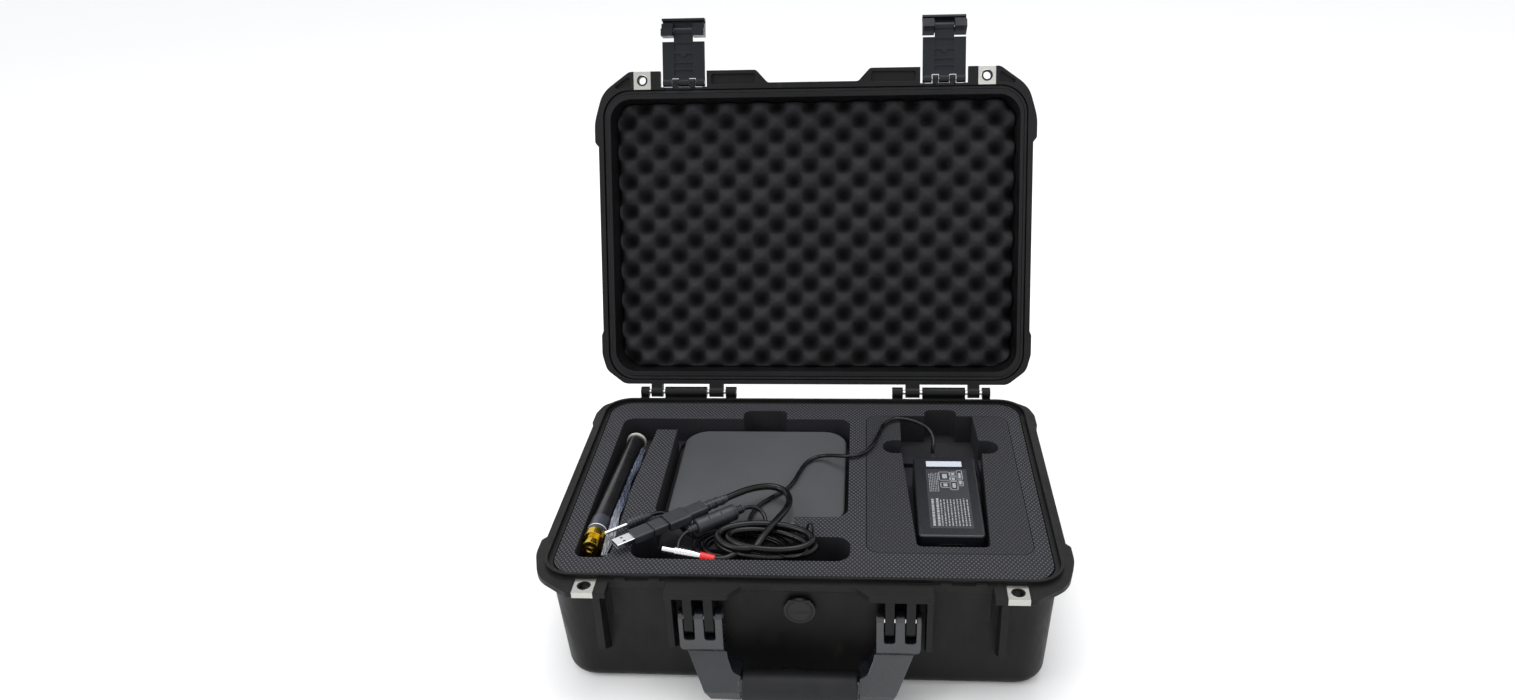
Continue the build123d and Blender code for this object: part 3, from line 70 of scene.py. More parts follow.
class Finish:
    """A material under construction: its tree, its shader and short ways to add nodes."""

    def __init__(self, name, colour, rough, metal=0.0, **sockets):
        self.mat = bpy.data.materials.new(name)
        self.mat.use_nodes = True
        self.mat.diffuse_color = rgb(colour)
        self.tree = self.mat.node_tree
        self.shader = self.tree.nodes["Principled BSDF"]
        self.set("Base Color", rgb(colour))
        self.set("Roughness", rough)
        self.set("Metallic", metal)
        for key, value in sockets.items():
            self.set(key.replace("_", " "), value)

    def set(self, socket, value):
        self.shader.inputs[socket].default_value = value

    def add(self, kind, **values):
        """Add one node; keys are its settings, or its input sockets by name with _ for a space."""
        made = self.tree.nodes.new("ShaderNode" + kind)
        for key, value in values.items():
            plain = key.replace("_", " ")
            if hasattr(made, key):
                setattr(made, key, value)
            elif isinstance(value, bpy.types.NodeSocket):
                self.tree.links.new(value, made.inputs[plain])
            else:
                made.inputs[plain].default_value = value
        return made

    def link(self, output, node, socket):
        self.tree.links.new(output, node.inputs[socket])

    def coords(self, scale=(1, 1, 1), turn=(0, 0, 0), shift=(0, 0, 0)):
        place = self.add("Mapping", Scale=scale, Rotation=turn, Location=shift)
        self.link(self.add("TexCoord").outputs["Object"], place, "Vector")
        return place.outputs["Vector"]

    def math(self, operation, a, b=None, c=None):
        made = self.add("Math", operation=operation)
        for i, value in enumerate((a, b, c)):
            if value is None:
                continue
            if isinstance(value, bpy.types.NodeSocket):
                self.tree.links.new(value, made.inputs[i])
            else:
                made.inputs[i].default_value = value
        return made.outputs[0]

    def distance(self, a, b):
        """Length of the two components a and b together."""
        squares = self.math("ADD", self.math("MULTIPLY", a, a), self.math("MULTIPLY", b, b))
        return self.math("SQRT", squares)

    def noise(self, scale, detail=3.0, rough=0.55, at=None):
        at = at or self.coords()
        made = self.add("TexNoise", Vector=at, Scale=scale, Detail=detail, Roughness=rough)
        return made.outputs["Fac"]

    def ramp(self, value, low, high, a=0.0, b=1.0):
        """Map value from low..high to a..b, held at the ends."""
        made = self.add("MapRange", Value=value)
        for key, number in (("From Min", low), ("From Max", high), ("To Min", a), ("To Max", b)):
            made.inputs[key].default_value = number
        return made.outputs["Result"]

    def mix(self, share, a, b):
        """Blend two hex colours, or colour sockets, by share."""
        made = self.add("Mix", data_type="RGBA")
        self.link(share, made, 0)
        for i, value in ((6, a), (7, b)):
            if isinstance(value, str):
                made.inputs[i].default_value = rgb(value)
            else:
                self.tree.links.new(value, made.inputs[i])
        return made.outputs[2]

    def colour(self, output):
        self.link(output, self.shader, "Base Color")

    def rough(self, output):
        self.link(output, self.shader, "Roughness")

    def bump(self, heights, edge=0.0):
        """Stack of (height socket, distance in metres); edge rounds sharp corners by that radius."""
        normal = None
        if edge:
            normal = self.add("Bevel", samples=6, Radius=edge).outputs["Normal"]
        for height, distance in heights:
            made = self.add("Bump", Height=height, Distance=distance, Strength=1.0)
            if normal:
                self.link(normal, made, "Normal")
            normal = made.outputs["Normal"]
        self.link(normal, self.shader, "Normal")


# ------------------------------------------------------------------ finishes
# In metres: the padlock hole, the valve, and the lid hinge with the lid's turn at rest.
PARTING_Z = 0.128
VALVE_Z = 0.096
PLATE_HOLE_X = 0.1905
PLATE_HOLE_Y = -0.1735
HINGE_AT = (0.1775, 0.1315)
LID_OPENED = math.radians(110.4)
LID_TURN = math.pi - LID_OPENED


def with_lid_open(y, z):
    """Where a point of the shut lid lies with the lid open."""
    dy, dz = y - HINGE_AT[0], z - HINGE_AT[1]
    cos, sin = math.cos(LID_OPENED), math.sin(LID_OPENED)
    return HINGE_AT[0] + dy * cos + dz * sin, HINGE_AT[1] - dy * sin + dz * cos


def moulded(name, colour, light, rough=0.42, edge=0.0009, grain=1600.0):
    """Injection-moulded polypropylene: fine spark texture, faint flow clouds and dry scuffs."""
    f = Finish(name, colour, rough, Specular_IOR_Level=0.17)
    cloud = f.noise(9.0, 4.0)
    scuff = f.noise(60.0, 6.0, 0.7, f.coords((1, 1, 0.35)))
    worn = f.mix(f.ramp(cloud, 0.35, 0.72), colour, light)
    rubs = f.math("MULTIPLY", f.ramp(scuff, 0.58, 0.76), f.ramp(f.noise(17.0, 2.0), 0.50, 0.66))
    f.colour(f.mix(rubs, worn, "29261f"))
    f.rough(f.ramp(scuff, 0.40, 0.72, rough - 0.07, rough + 0.16))
    f.bump([(f.noise(grain, 2.0), 0.00010), (f.noise(35.0, 2.0), 0.00025)], edge)
    return f.mat


def handle_gloss():
    """Handle arms: tougher, shinier polyamide with a blue-grey cast."""
    f = Finish("handle_polyamide", "15171c", 0.22, Specular_IOR_Level=0.75)
    cloud = f.noise(24.0, 4.0)
    f.colour(f.mix(f.ramp(cloud, 0.3, 0.75), "101216", "1c1f26"))
    f.rough(f.ramp(f.noise(120.0, 5.0), 0.3, 0.75, 0.16, 0.32))
    f.bump([(f.noise(700.0, 2.0), 0.00006)], 0.0016)
    return f.mat


def soft_rubber(name, colour, light, rough=0.6):
    """Thermoplastic rubber with a dull bloom."""
    f = Finish(name, colour, rough, Specular_IOR_Level=0.3)
    f.colour(f.mix(f.ramp(f.noise(40.0, 5.0), 0.35, 0.75), colour, light))
    f.bump([(f.noise(1300.0, 3.0), 0.00012)], 0.0008)
    return f.mat


def embossed_foam(name, colour, light, dark):
    """Polyethylene foam: staggered oval bumps on the flat top, their crests painted light as a painted
    highlight; plain sawn sides.
    """
    f = Finish(name, colour, 0.72, Specular_IOR_Level=0.3)
    at = f.coords()
    axes = f.add("SeparateXYZ", Vector=at)
    u = f.math("MULTIPLY", axes.outputs["X"], 2 * math.pi / 0.0041)
    v = f.math("MULTIPLY", axes.outputs["Y"], 2 * math.pi / 0.0058)
    wave = f.math("MULTIPLY", f.math("COSINE", u), f.math("COSINE", v))
    bumps = f.ramp(wave, -0.12, 0.62)
    up = f.add("SeparateXYZ", Vector=f.add("NewGeometry").outputs["Normal"]).outputs["Z"]
    top = f.math("GREATER_THAN", up, 0.6)
    level = f.math("GREATER_THAN", axes.outputs["Z"], 0.1262)
    face = f.math("MULTIPLY", top, level)
    # Painted highlight: on the top face the bump crests take the light colour and the hollows between
    # them the dark one.
    painted_highlight_top = f.mix(f.math("MULTIPLY", bumps, face), dark, light)
    cells = f.noise(900.0, 4.0)
    side = f.mix(f.ramp(cells, 0.3, 0.7), dark, colour)
    f.colour(f.mix(face, side, painted_highlight_top))
    f.bump([(f.math("MULTIPLY", bumps, face), 0.0011), (cells, 0.00025)], 0.0007)
    return f.mat


def open_foam():
    """Open-cell charcoal foam: matt, pricked with tiny bright cells, with painted shade making its
    hollows near black.
    """
    f = Finish("open_cell_foam", "29292b", 0.95, Specular_IOR_Level=0.12)
    cells = f.add("TexVoronoi", Vector=f.coords(), Scale=900.0).outputs["Distance"]
    specks = f.ramp(f.noise(520.0, 2.0), 0.70, 0.80)
    body = f.mix(f.ramp(f.noise(14.0, 3.0), 0.3, 0.7), "28282a", "313134")
    # Painted shade: the crest attribute darkens the hollows between the crests to near black.
    crest = f.add("Attribute", attribute_name="crest").outputs["Fac"]
    body = f.mix(f.ramp(crest, 0.02, 0.62), "0b0b0c", body)
    f.colour(f.mix(specks, body, "4b4b4e"))
    f.bump([(cells, 0.0005), (f.noise(260.0, 4.0), 0.0006)])
    return f.mat


def plain_foam():
    """Cut polyethylene foam without embossing."""
    f = Finish("plain_cut_foam", "232327", 0.85, Specular_IOR_Level=0.25)
    f.bump([(f.noise(900.0, 4.0), 0.0003)])
    return f.mat


def brushed(name, colour, rough=0.32, stretch=(1, 1, 1)):
    """Sheet or turned metal with fine lines along one axis."""
    f = Finish(name, colour, rough, 1.0)
    lines = f.noise(1500.0, 3.0, 0.6, f.coords(stretch))
    f.rough(f.ramp(lines, 0.25, 0.75, rough - 0.10, rough + 0.12))
    f.bump([(lines, 0.00004)], 0.0005)
    return f.mat


def holed_plate(name, hole_y, hole_z, tilt):
    """Stainless padlock plate with a pressed ring round its hole, painted near black as painted shade in
    the groove.

    tilt turns the plate's length from Y towards Z.
    """
    steel, groove_shade = "b4b3ae", "1d1d1c"
    f = Finish(name, steel, 0.30, 1.0)
    axes = f.add("SeparateXYZ", Vector=f.coords())
    across = f.math("SUBTRACT", f.math("ABSOLUTE", axes.outputs["X"]), PLATE_HOLE_X)
    y = f.math("MULTIPLY", f.math("SUBTRACT", axes.outputs["Y"], hole_y), math.cos(tilt))
    z = f.math("MULTIPLY", f.math("SUBTRACT", axes.outputs["Z"], hole_z), math.sin(tilt))
    along = f.math("ADD", y, z)
    ring = f.ramp(f.distance(across, along), 0.0056, 0.0064, 1.0, 0.0)
    # Painted shade: the pressed ring is coloured near black, as the groove lies in shade.
    f.colour(f.mix(ring, steel, groove_shade))
    lines = f.noise(1500.0, 3.0, 0.6, f.coords((0.05, 1, 1)))
    f.rough(f.ramp(lines, 0.25, 0.75, 0.20, 0.42))
    f.bump([(ring, 0.0005), (lines, 0.00004)], 0.0005)
    return f.mat


def gloss_black(name, colour="101113", rough=0.28, light="1c1d20"):
    """Soft PVC housing of a plug, its edges rounded."""
    f = Finish(name, colour, rough)
    f.colour(f.mix(f.ramp(f.noise(50.0, 3.0), 0.35, 0.75), colour, light))
    f.rough(f.ramp(f.noise(300.0, 4.0), 0.3, 0.8, rough - 0.05, rough + 0.12))
    f.bump([(f.noise(800.0, 2.0), 0.00004)], 0.0006)
    return f.mat


def jacket():
    """Smooth black PVC of a lead, with slow changes of gloss and no grain."""
    f = Finish("lead_pvc_jacket", "08080a", 0.24, Specular_IOR_Level=0.27)
    f.colour(f.mix(f.ramp(f.noise(45.0, 2.0), 0.35, 0.75), "070708", "0e0e11"))
    f.rough(f.ramp(f.noise(90.0, 2.0), 0.3, 0.8, 0.20, 0.34))
    return f.mat


def unit_coat():
    """Soft-touch coat of the flat unit, with faint handling clouds."""
    f = Finish("soft_touch_coat", "47484a", 0.36)
    haze = f.noise(7.0, 3.0, 0.5)
    f.colour(f.mix(f.ramp(haze, 0.25, 0.8), "434446", "4c4d4f"))
    f.rough(f.ramp(f.noise(16.0, 4.0, 0.6), 0.3, 0.75, 0.31, 0.40))
    f.bump([(f.noise(2600.0, 1.0), 0.00003)], 0.0022)
    return f.mat


def clear_film():
    """Crumpled clear polyethylene bag, whiter towards its front end as a painted highlight."""
    f = Finish("clear_bag_film", "747d92", 0.14, Alpha=0.42, Specular_IOR_Level=0.8)
    creases = f.noise(70.0, 3.0, 0.5, f.coords((1, 0.35, 1)))
    # Painted highlight: the bag turns from blue-grey to near white towards its front end.
    low = f.ramp(f.add("SeparateXYZ", Vector=f.coords()).outputs["Y"], -0.045, -0.095)
    f.colour(f.mix(low, "6c7489", "c3c6cc"))
    f.link(f.ramp(creases, 0.46, 0.66, 0.24, 0.72), f.shader, "Alpha")
    f.bump([(creases, 0.0022)])
    return f.mat


def label_film():
    """Dark grey printed label."""
    f = Finish("label_print_film", "2c2d32", 0.44)
    f.bump([(f.noise(500.0, 2.0), 0.00003)])
    return f.mat


def valve_cap():
    """Black cap of the pressure valve: a raised ring and a row of raised dashes on its face."""
    f = Finish("valve_polyamide", "0d0d0e", 0.38, Specular_IOR_Level=0.3)
    axes = f.add("SeparateXYZ", Vector=f.coords(shift=(0, 0, -VALVE_Z)))
    x, z = axes.outputs["X"], axes.outputs["Z"]
    radius = f.distance(x, z)
    ring = f.ramp(f.math("ABSOLUTE", f.math("SUBTRACT", radius, 0.0112)), 0.0004, 0.0008, 1.0, 0.0)
    dash = f.ramp(f.math("SINE", f.math("MULTIPLY", x, 2 * math.pi / 0.0027)), -0.2, 0.1)
    row = f.ramp(f.math("ABSOLUTE", f.math("ADD", z, 0.0015)), 0.0012, 0.0015, 1.0, 0.0)
    inside = f.math("LESS_THAN", radius, 0.0095)
    marks = f.math("MULTIPLY", f.math("MULTIPLY", dash, row), inside)
    f.bump([(ring, 0.0006), (marks, 0.0005)], 0.0008)
    return f.mat


def plain(name, colour, rough, metal=0.0, edge=0.0004, grain=400.0):
    """Small moulded, painted or plated part with a trace of unevenness."""
    f = Finish(name, colour, rough, metal)
    f.rough(f.ramp(f.noise(grain, 3.0), 0.3, 0.75, max(rough - 0.06, 0.04), rough + 0.10))
    f.bump([(f.noise(grain * 2, 2.0), 0.00004)], edge)
    return f.mat


FINISHES = {}


def finish(name):
    """Each finish is made once, on first use."""
    if name not in FINISHES:
        FINISHES[name] = RECIPES[name]()
    return FINISHES[name]


RECIPES = {
    "case": lambda: moulded("case_polypropylene", "0b0b0b", "131312", 0.46),
    "lid": lambda: moulded("lid_polypropylene", "0c0c0d", "151517", 0.44),
    "latch": lambda: moulded("latch_polyamide", "131418", "1f2127", 0.36, 0.0006),
    "handle": handle_gloss,
    "grip": lambda: soft_rubber("grip_rubber", "0e0e10", "17181b", 0.5),
    "gasket": lambda: soft_rubber("gasket_rubber", "131316", "1f2024", 0.55),
    # The third colour of each foam is the painted highlight on its bump crests.
    "foam": lambda: embossed_foam("embossed_pe_foam", "1c1c20", "4d4e54", "1a1a1d"),
    "foam_insert": lambda: embossed_foam("insert_pe_foam", "1d1d21", "3d3e43", "1e1e21"),
    "foam_pad": plain_foam,
    "open_foam": open_foam,
    "base_plate": lambda: holed_plate("base_plate_steel", PLATE_HOLE_Y, PARTING_Z, 0.0),
    "lid_plate": lambda: holed_plate(
        "lid_plate_steel", *with_lid_open(PLATE_HOLE_Y, PARTING_Z), LID_TURN),
    "pin": lambda: brushed("bright_pin_steel", "d8d8d6", 0.16, (1, 0.05, 0.05)),
    "brass": lambda: brushed("turned_brass", "d0b23c", 0.20, (1, 0.05, 1)),
    "tube": lambda: plain("satin_black_tube", "131315", 0.30, 0.0, 0.0004, 60.0),
    "collar": lambda: plain("slate_collar", "30333b", 0.38, 0.0, 0.0004, 60.0),
    "turned": lambda: plain("turned_ring", "c6c3b8", 0.34, 0.25, 0.0003, 60.0),
    "paint": lambda: plain("white_line_paint", "d9d9d6", 0.45),
    "adapter": lambda: plain("adapter_polycarbonate", "15161b", 0.36, 0.0, 0.0011, 900.0),
    "label": label_film,
    "print": lambda: plain("pale_label_ink", "8e9195", 0.55, 0.0, 0.0),
    "sticker": lambda: plain("sticker_paper", "b9bec8", 0.5, 0.0, 0.0),
    "board": lambda: plain("resin_board", "1d4a2a", 0.5),
    "unit": unit_coat,
    "jacket": jacket,
    "plug": lambda: gloss_black("plug_pvc", "1d1e22", 0.44, "292a2f"),
    "plated": lambda: plain("nickel_plate", "e2e2e4", 0.20, 1.0, 0.0003, 90.0),
    "red": lambda: plain("red_boot_pvc", "c81c1c", 0.40),
    "film": clear_film,
    "valve": valve_cap,
    "ferrite": lambda: plain("sintered_ferrite", "2a2a2c", 0.6),
}

NODE_FINISH = {
    "case": ["base_shell", "base_padlock_lugs"], "lid": ["lid_shell"],
    "gasket": ["lid_seal", "valve_seal", "valve_membrane"],
    "valve": ["valve_body"], "base_plate": ["base_padlock_plates"],
    "lid_plate": ["lid_padlock_plates"],
    "pin": ["hinge_pins", "handle_pins", "latch_hinge_pins", "latch_jaw_pin_left", "latch_jaw_pin_right",
            "pole_adaptor_pin"],
    "latch": ["latch_link_left", "latch_link_right", "latch_jaw_left", "latch_jaw_right"],
    "handle": ["handle_frame"], "grip": ["handle_grip"], "foam": ["foam_tray"],
    "foam_insert": ["foam_insert"], "foam_pad": ["foam_pad"],
    "adapter": ["adapter_upper_cover", "adapter_lower_cover", "adapter_inlet"],
    "label": ["adapter_label"], "sticker": ["adapter_sticker"], "board": ["adapter_board"],
    "unit": ["unit_upper_shell", "unit_lower_shell", "unit_panel"],
    "tube": ["pole_tube"], "collar": ["pole_collar"], "turned": ["pole_end_ring"],
    "paint": ["pole_collar_line"],
    "brass": ["pole_brass_adaptor"], "plated": ["usb_shell", "barrel_pin", "round_connector_nose",
                                                "round_connector_shell"],
    "plug": ["usb_body", "usb_coupler", "usb_relief", "usb_tongue", "barrel_boot", "ferrite_cover",
             "ferrite_reliefs", "adapter_relief"],
    "red": ["round_connector_boot"], "ferrite": ["ferrite_core"],
    "open_foam": ["lid_foam"], "film": ["film_bag"],
    "jacket": ["dc_lead", "dc_lead_links", "dc_coil", "usb_lead", "usb_lead_tail", "usb_coil"],
}


# ------------------------------------------------------------------ mesh helpers
def new_mesh(name, points, faces, finish_name, smooth=True):
    """Mesh object at the origin from an (n, 3) array of points and an (m, 4) array of corners."""
    data = bpy.data.meshes.new(name)
    data.from_pydata(points.tolist(), [], faces.tolist())
    data.update()
    data.polygons.foreach_set("use_smooth", np.full(len(data.polygons), smooth))
    data.materials.append(finish(finish_name))
    made = bpy.data.objects.new(name, data)
    bpy.context.scene.collection.objects.link(made)
    return made


def grid_faces(rows, cols, wrap=False):
    """Corner numbers of the quads of a rows by cols grid; wrap closes it along its columns."""
    last = cols if wrap else cols - 1
    i, j = np.meshgrid(np.arange(rows - 1), np.arange(last), indexing="ij")
    k = (j + 1) % cols
    here, after = i * cols, (i + 1) * cols
    return np.stack([here + j, here + k, after + k, after + j], -1).reshape(-1, 4)


def outward(made):
    """Merge doubles and turn the faces of a closed surface outwards."""
    work = bmesh.new()
    work.from_mesh(made.data)
    bmesh.ops.remove_doubles(work, verts=work.verts, dist=1e-6)
    bmesh.ops.recalc_face_normals(work, faces=work.faces)
    work.to_mesh(made.data)
    work.free()
    made.data.update()
    return made


def opened(points):
    """Closed-lid points turned to the open stop about the hinge line."""
    c, s = math.cos(OPEN), math.sin(OPEN)
    y, z = points[:, 1] - HINGE[1], points[:, 2] - HINGE[2]
    return np.stack([points[:, 0], HINGE[1] + y * c - z * s, HINGE[2] + y * s + z * c], 1)


def line_of(spline_object):
    """Points along a bevel-free copy of a curve, as its smooth line runs."""
    copy = spline_object.data.copy()
    copy.bevel_depth = 0.0
    ghost = bpy.data.objects.new("ghost", copy)
    data = bpy.data.meshes.new_from_object(ghost)
    points = np.array([v.co[:] for v in data.vertices])
    bpy.data.objects.remove(ghost)
    return points


# ------------------------------------------------------------------ leads
def lead(name, points, diameter):
    """One smooth open NURBS line through its control points, with a round section."""
    data = bpy.data.curves.new(name, "CURVE")
    data.dimensions = "3D"
    data.bevel_depth = diameter / 2
    data.bevel_resolution = 4
    data.resolution_u = 6
    data.use_fill_caps = True
    spline = data.splines.new("NURBS")
    spline.points.add(len(points) - 1)
    spline.points.foreach_set("co", np.column_stack([points, np.ones(len(points))]).ravel())
    spline.order_u = 3
    spline.use_endpoint_u = True
    data.materials.append(finish("jacket"))
    made = bpy.data.objects.new(name, data)
    bpy.context.scene.collection.objects.link(made)
    return made


def spline_length(made):
    line = line_of(made)
    return float(np.linalg.norm(np.diff(line, axis=0), axis=1).sum())


def turns(middle, half, tilt, start, stop, sizes, heights, seed, loose=0.045, per_turn=16):
    """Loose coil: the angle runs evenly from start to stop degrees round an oval. Its size and height
    follow the lists, one value for each half turn begun, and wander a little away from its two ends."""
    rng = np.random.default_rng(seed)
    count = int(abs(stop - start) / 360 * per_turn)
    angle = np.radians(np.linspace(start, stop, count))
    at = np.abs(angle - angle[0]) / np.pi
    share = np.linspace(0, 1, count)
    knots = np.linspace(0, 1, int(at[-1] * 1.5) + 3)
    calm = np.sin(np.pi * share) ** 0.5

    def wander(size):
        return calm * np.interp(share, knots, rng.uniform(-size, size, len(knots)))

    grow = np.interp(at, np.arange(len(sizes)), sizes) + wander(loose)
    x = half[0] * grow * np.cos(angle) + wander(1.2)
    y = half[1] * (grow + wander(loose)) * np.sin(angle)
    c, s = math.cos(math.radians(tilt)), math.sin(math.radians(tilt))
    z = np.interp(at, np.arange(len(heights)), heights)
    return np.column_stack([middle[0] + x * c - y * s, middle[1] + x * s + y * c, z])


DC_POINTS = [
    (130.0, 72.0, 113.0), (130.0, 83.0, 113.0), (132.5, 96.0, 117.0), (129.0, 108.0, 124.0),
    (116.0, 114.0, 129.5), (101.5, 118.5, 131.6), (88.0, 118.0, 131.8), (79.0, 108.0, 131.4),
    (74.5, 93.5, 131.2), (70.5, 78.0, 131.2), (65.5, 61.0, 131.2), (56.5, 45.0, 131.4),
    (42.0, 39.0, 132.0), (28.5, 47.0, 128.0), (16.5, 56.0, 122.5), (4.5, 56.0, 119.8),
    (-4.0, 46.0, 119.0), (-9.0, 30.5, 119.0), (-13.0, 14.0, 119.0), (-20.0, -3.0, 119.0),
    (-31.5, -14.5, 119.0), (-42.0, -26.5, 119.0), (-50.0, -40.0, 119.4), (-54.0, -57.0, 119.6),
    (-55.0, -73.0, 117.0),
]
FERRITE_OUT = [
    (-59.4, -54.4, 130.4), (-51.0, -49.5, 129.4), (-42.5, -50.5, 126.0), (-37.0, -58.0, 121.0),
    (-38.0, -75.0, 117.0),
]
FERRITE_IN = [
    (-108.1, -92.5, 130.4), (-113.8, -99.5, 128.2), (-116.5, -108.5, 124.5), (-113.5, -117.5, 120.5),
    (-105.0, -122.0, 117.6), (-93.5, -120.5, 116.6),
]
BARREL_LEAD = [
    (-147.1, -72.7, 133.8), (-138.6, -65.9, 133.6), (-129.5, -66.5, 129.0), (-121.0, -72.0, 123.5),
    (-112.0, -79.5, 118.4), (-101.0, -85.0, 116.6),
]
USB_LOOP = [
    (-76.5, -46.8, 136.6), (-63.2, -34.6, 136.4), (-48.8, -21.5, 133.2), (-33.0, -14.0, 129.8),
    (-20.0, -21.0, 128.6), (-14.6, -37.0, 129.2), (-17.0, -56.0, 131.2), (-23.5, -75.0, 133.8),
    (-30.8, -93.5, 135.4), (-37.3, -109.5, 134.2), (-42.0, -120.5, 130.8),
]
USB_TAIL = [
    (-79.0, -127.6, 124.4), (-71.5, -127.6, 124.0), (-64.0, -123.5, 124.6), (-57.0, -116.0, 125.6),
]
# Wire tie round the coil: its twisted end stands up, its tail lies over the front.
TIE_UP = [
    (2.0, -94.0, 124.0), (4.0, -92.0, 131.0), (5.0, -91.0, 137.0), (6.5, -91.0, 139.6),
    (8.5, -91.5, 139.8), (9.8, -92.5, 137.0), (9.8, -95.0, 131.0), (9.0, -98.0, 124.0),
]
TIE_LOW = [
    (-19.0, -124.0, 128.5), (-15.0, -129.5, 130.0), (-8.0, -132.0, 131.0), (0.0, -130.0, 131.5),
    (5.0, -124.0, 131.5), (6.0, -116.0, 130.0), (4.0, -108.0, 127.0),
]
DC_MIDDLE, DC_HALF = (-57.0, -99.0), (47.0, 26.0)
USB_MIDDLE, USB_HALF = (-33.0, -103.5), (49.5, 24.0)


def dc_route():
    """From the adapter across the flat unit, round the coil, out through the ferrite, round again and
    up to the barrel plug. Each bridge is a few points that lead one stretch into the next."""
    first = turns(DC_MIDDLE, DC_HALF, -6, 228, 228 - 640, (0.80, 0.84, 0.98, 0.98),
                  (116.8, 118.0, 117.6, 117.0), 4)
    second = turns(DC_MIDDLE, DC_HALF, -6, 232, 232 - 395, (0.72, 0.86, 0.90), (114.8, 114.6, 115.0), 9)
    down = [(-55.5, -88.0, 116.4), (-60.0, -103.0, 116.4), (-70.0, -112.5, 116.6)]
    across = [(-40.5, -90.0, 115.6), (-48.0, -104.0, 115.0), (-60.0, -112.5, 114.8)]
    return [DC_POINTS, down, first, FERRITE_IN[::-1], FERRITE_OUT, across, second, BARREL_LEAD[::-1]]


def usb_route():
    """From the plug in a high loop down on to the coil, round it and out to the round connector."""
    sizes = (0.96, 0.93, 0.76, 0.72, 0.97, 1.0, 0.78)
    heights = (130.2, 131.8, 131.6, 125.2, 124.2, 124.0, 125.4)
    coil = turns(USB_MIDDLE, USB_HALF, -7, 236, 286 - 1080, sizes, heights, 21)
    return [USB_LOOP, coil, USB_TAIL[::-1]]


def joined(parts):
    return np.vstack([np.array(part, float) for part in parts]) * MM


# ------------------------------------------------------------------ operators
class KitSizes(bpy.types.PropertyGroup):
    """Sizes of the pieces that are modelled here."""

    dc_diameter: bpy.props.FloatProperty(
        name="Thin lead", description="Diameter of the low-voltage lead", default=0.004, unit="LENGTH")
    usb_diameter: bpy.props.FloatProperty(
        name="Data lead", description="Diameter of the data lead", default=0.0068, unit="LENGTH")
    crate_pitch: bpy.props.FloatVectorProperty(
        name="Crest pitch", description="Distance between crests of the lid foam, across and up",
        default=(0.0378, 0.0338), size=2, unit="LENGTH")
    crate_depth: bpy.props.FloatProperty(
        name="Crest height", description="From crest to hollow", default=0.019, unit="LENGTH")


class KitColours(bpy.types.PropertyGroup):
    """Colours of the stage."""

    floor: bpy.props.FloatVectorProperty(
        name="Floor", description="Colour of the floor", default=(0.93, 0.93, 0.93), size=3,
        subtype="COLOR")
    light: bpy.props.FloatProperty(
        name="Light", description="Strength of the surrounding light", default=1.02, min=0.0)



class KitStage(bpy.types.Operator):
    """Add the floor, the soft studio light and the camera"""

    bl_idname = "kit.stage"
    bl_label = "Stage"

    def execute(self, context):
        colours = context.scene.kit_colours
        f = Finish("studio_floor", "f2f2f2", 0.7)
        f.set("Base Color", (*colours.floor, 1.0))
        data = bpy.data.meshes.new("floor")
        corners = np.array([(-6, -6, 0), (6, -6, 0), (6, 8, 0), (-6, 8, 0)], float)
        data.from_pydata(corners.tolist(), [], [(0, 1, 2, 3)])
        data.materials.append(f.mat)
        floor = bpy.data.objects.new("floor", data)
        context.scene.collection.objects.link(floor)

        world = bpy.data.worlds.new("studio")
        world.use_nodes = True
        sky = world.node_tree.nodes["Background"]
        sky.inputs["Color"].default_value = (0.98, 0.985, 1.0, 1.0)
        sky.inputs["Strength"].default_value = colours.light
        context.scene.world = world

        for name, place, aim, size, power in (
            ("overhead", (0.1, 0.35, 2.2), (0, 0, 0.1), 1.4, 24.0),
            ("left_softbox", (-1.7, -0.9, 1.5), (0, 0, 0.15), 1.2, 16.0),
            ("front_fill", (0.9, -2.0, 1.1), (0, 0, 0.1), 1.4, 5.0),
        ):
            lamp = bpy.data.lights.new(name, "AREA")
            lamp.energy = power
            lamp.size = size
            made = bpy.data.objects.new(name, lamp)
            made.matrix_world = Matrix.Translation(place) @ (
                (Vector(aim) - Vector(place)).to_track_quat("-Z", "Y").to_matrix().to_4x4())
            context.scene.collection.objects.link(made)

        lens = bpy.data.cameras.new("camera")
        lens.sensor_width = 36.0
        lens.lens = 27.34
        lens.shift_x = -0.0140
        lens.shift_y = 0.0094
        lens.clip_start = 0.02
        camera = bpy.data.objects.new("camera", lens)
        right = (0.99724, 0.06683, -0.03231)
        up = (-0.00208, 0.46030, 0.88776)
        back = (0.07420, -0.88524, 0.45917)
        turn = Matrix((right, up, back)).transposed().to_4x4()
        camera.matrix_world = Matrix.Translation((0.057385, -0.975051, 0.765294)) @ turn
        context.scene.collection.objects.link(camera)
        context.scene.camera = camera
        context.scene.view_settings.view_transform = "Standard"
        return {"FINISHED"}


class KitFinishes(bpy.types.Operator):
    """Give every hard part its finish"""

    bl_idname = "kit.finishes"
    bl_label = "Finishes"

    def execute(self, context):
        for name, nodes in NODE_FINISH.items():
            for node in nodes:
                data = NODES[node].data
                data.materials.clear()
                data.materials.append(finish(name))
        return {"FINISHED"}


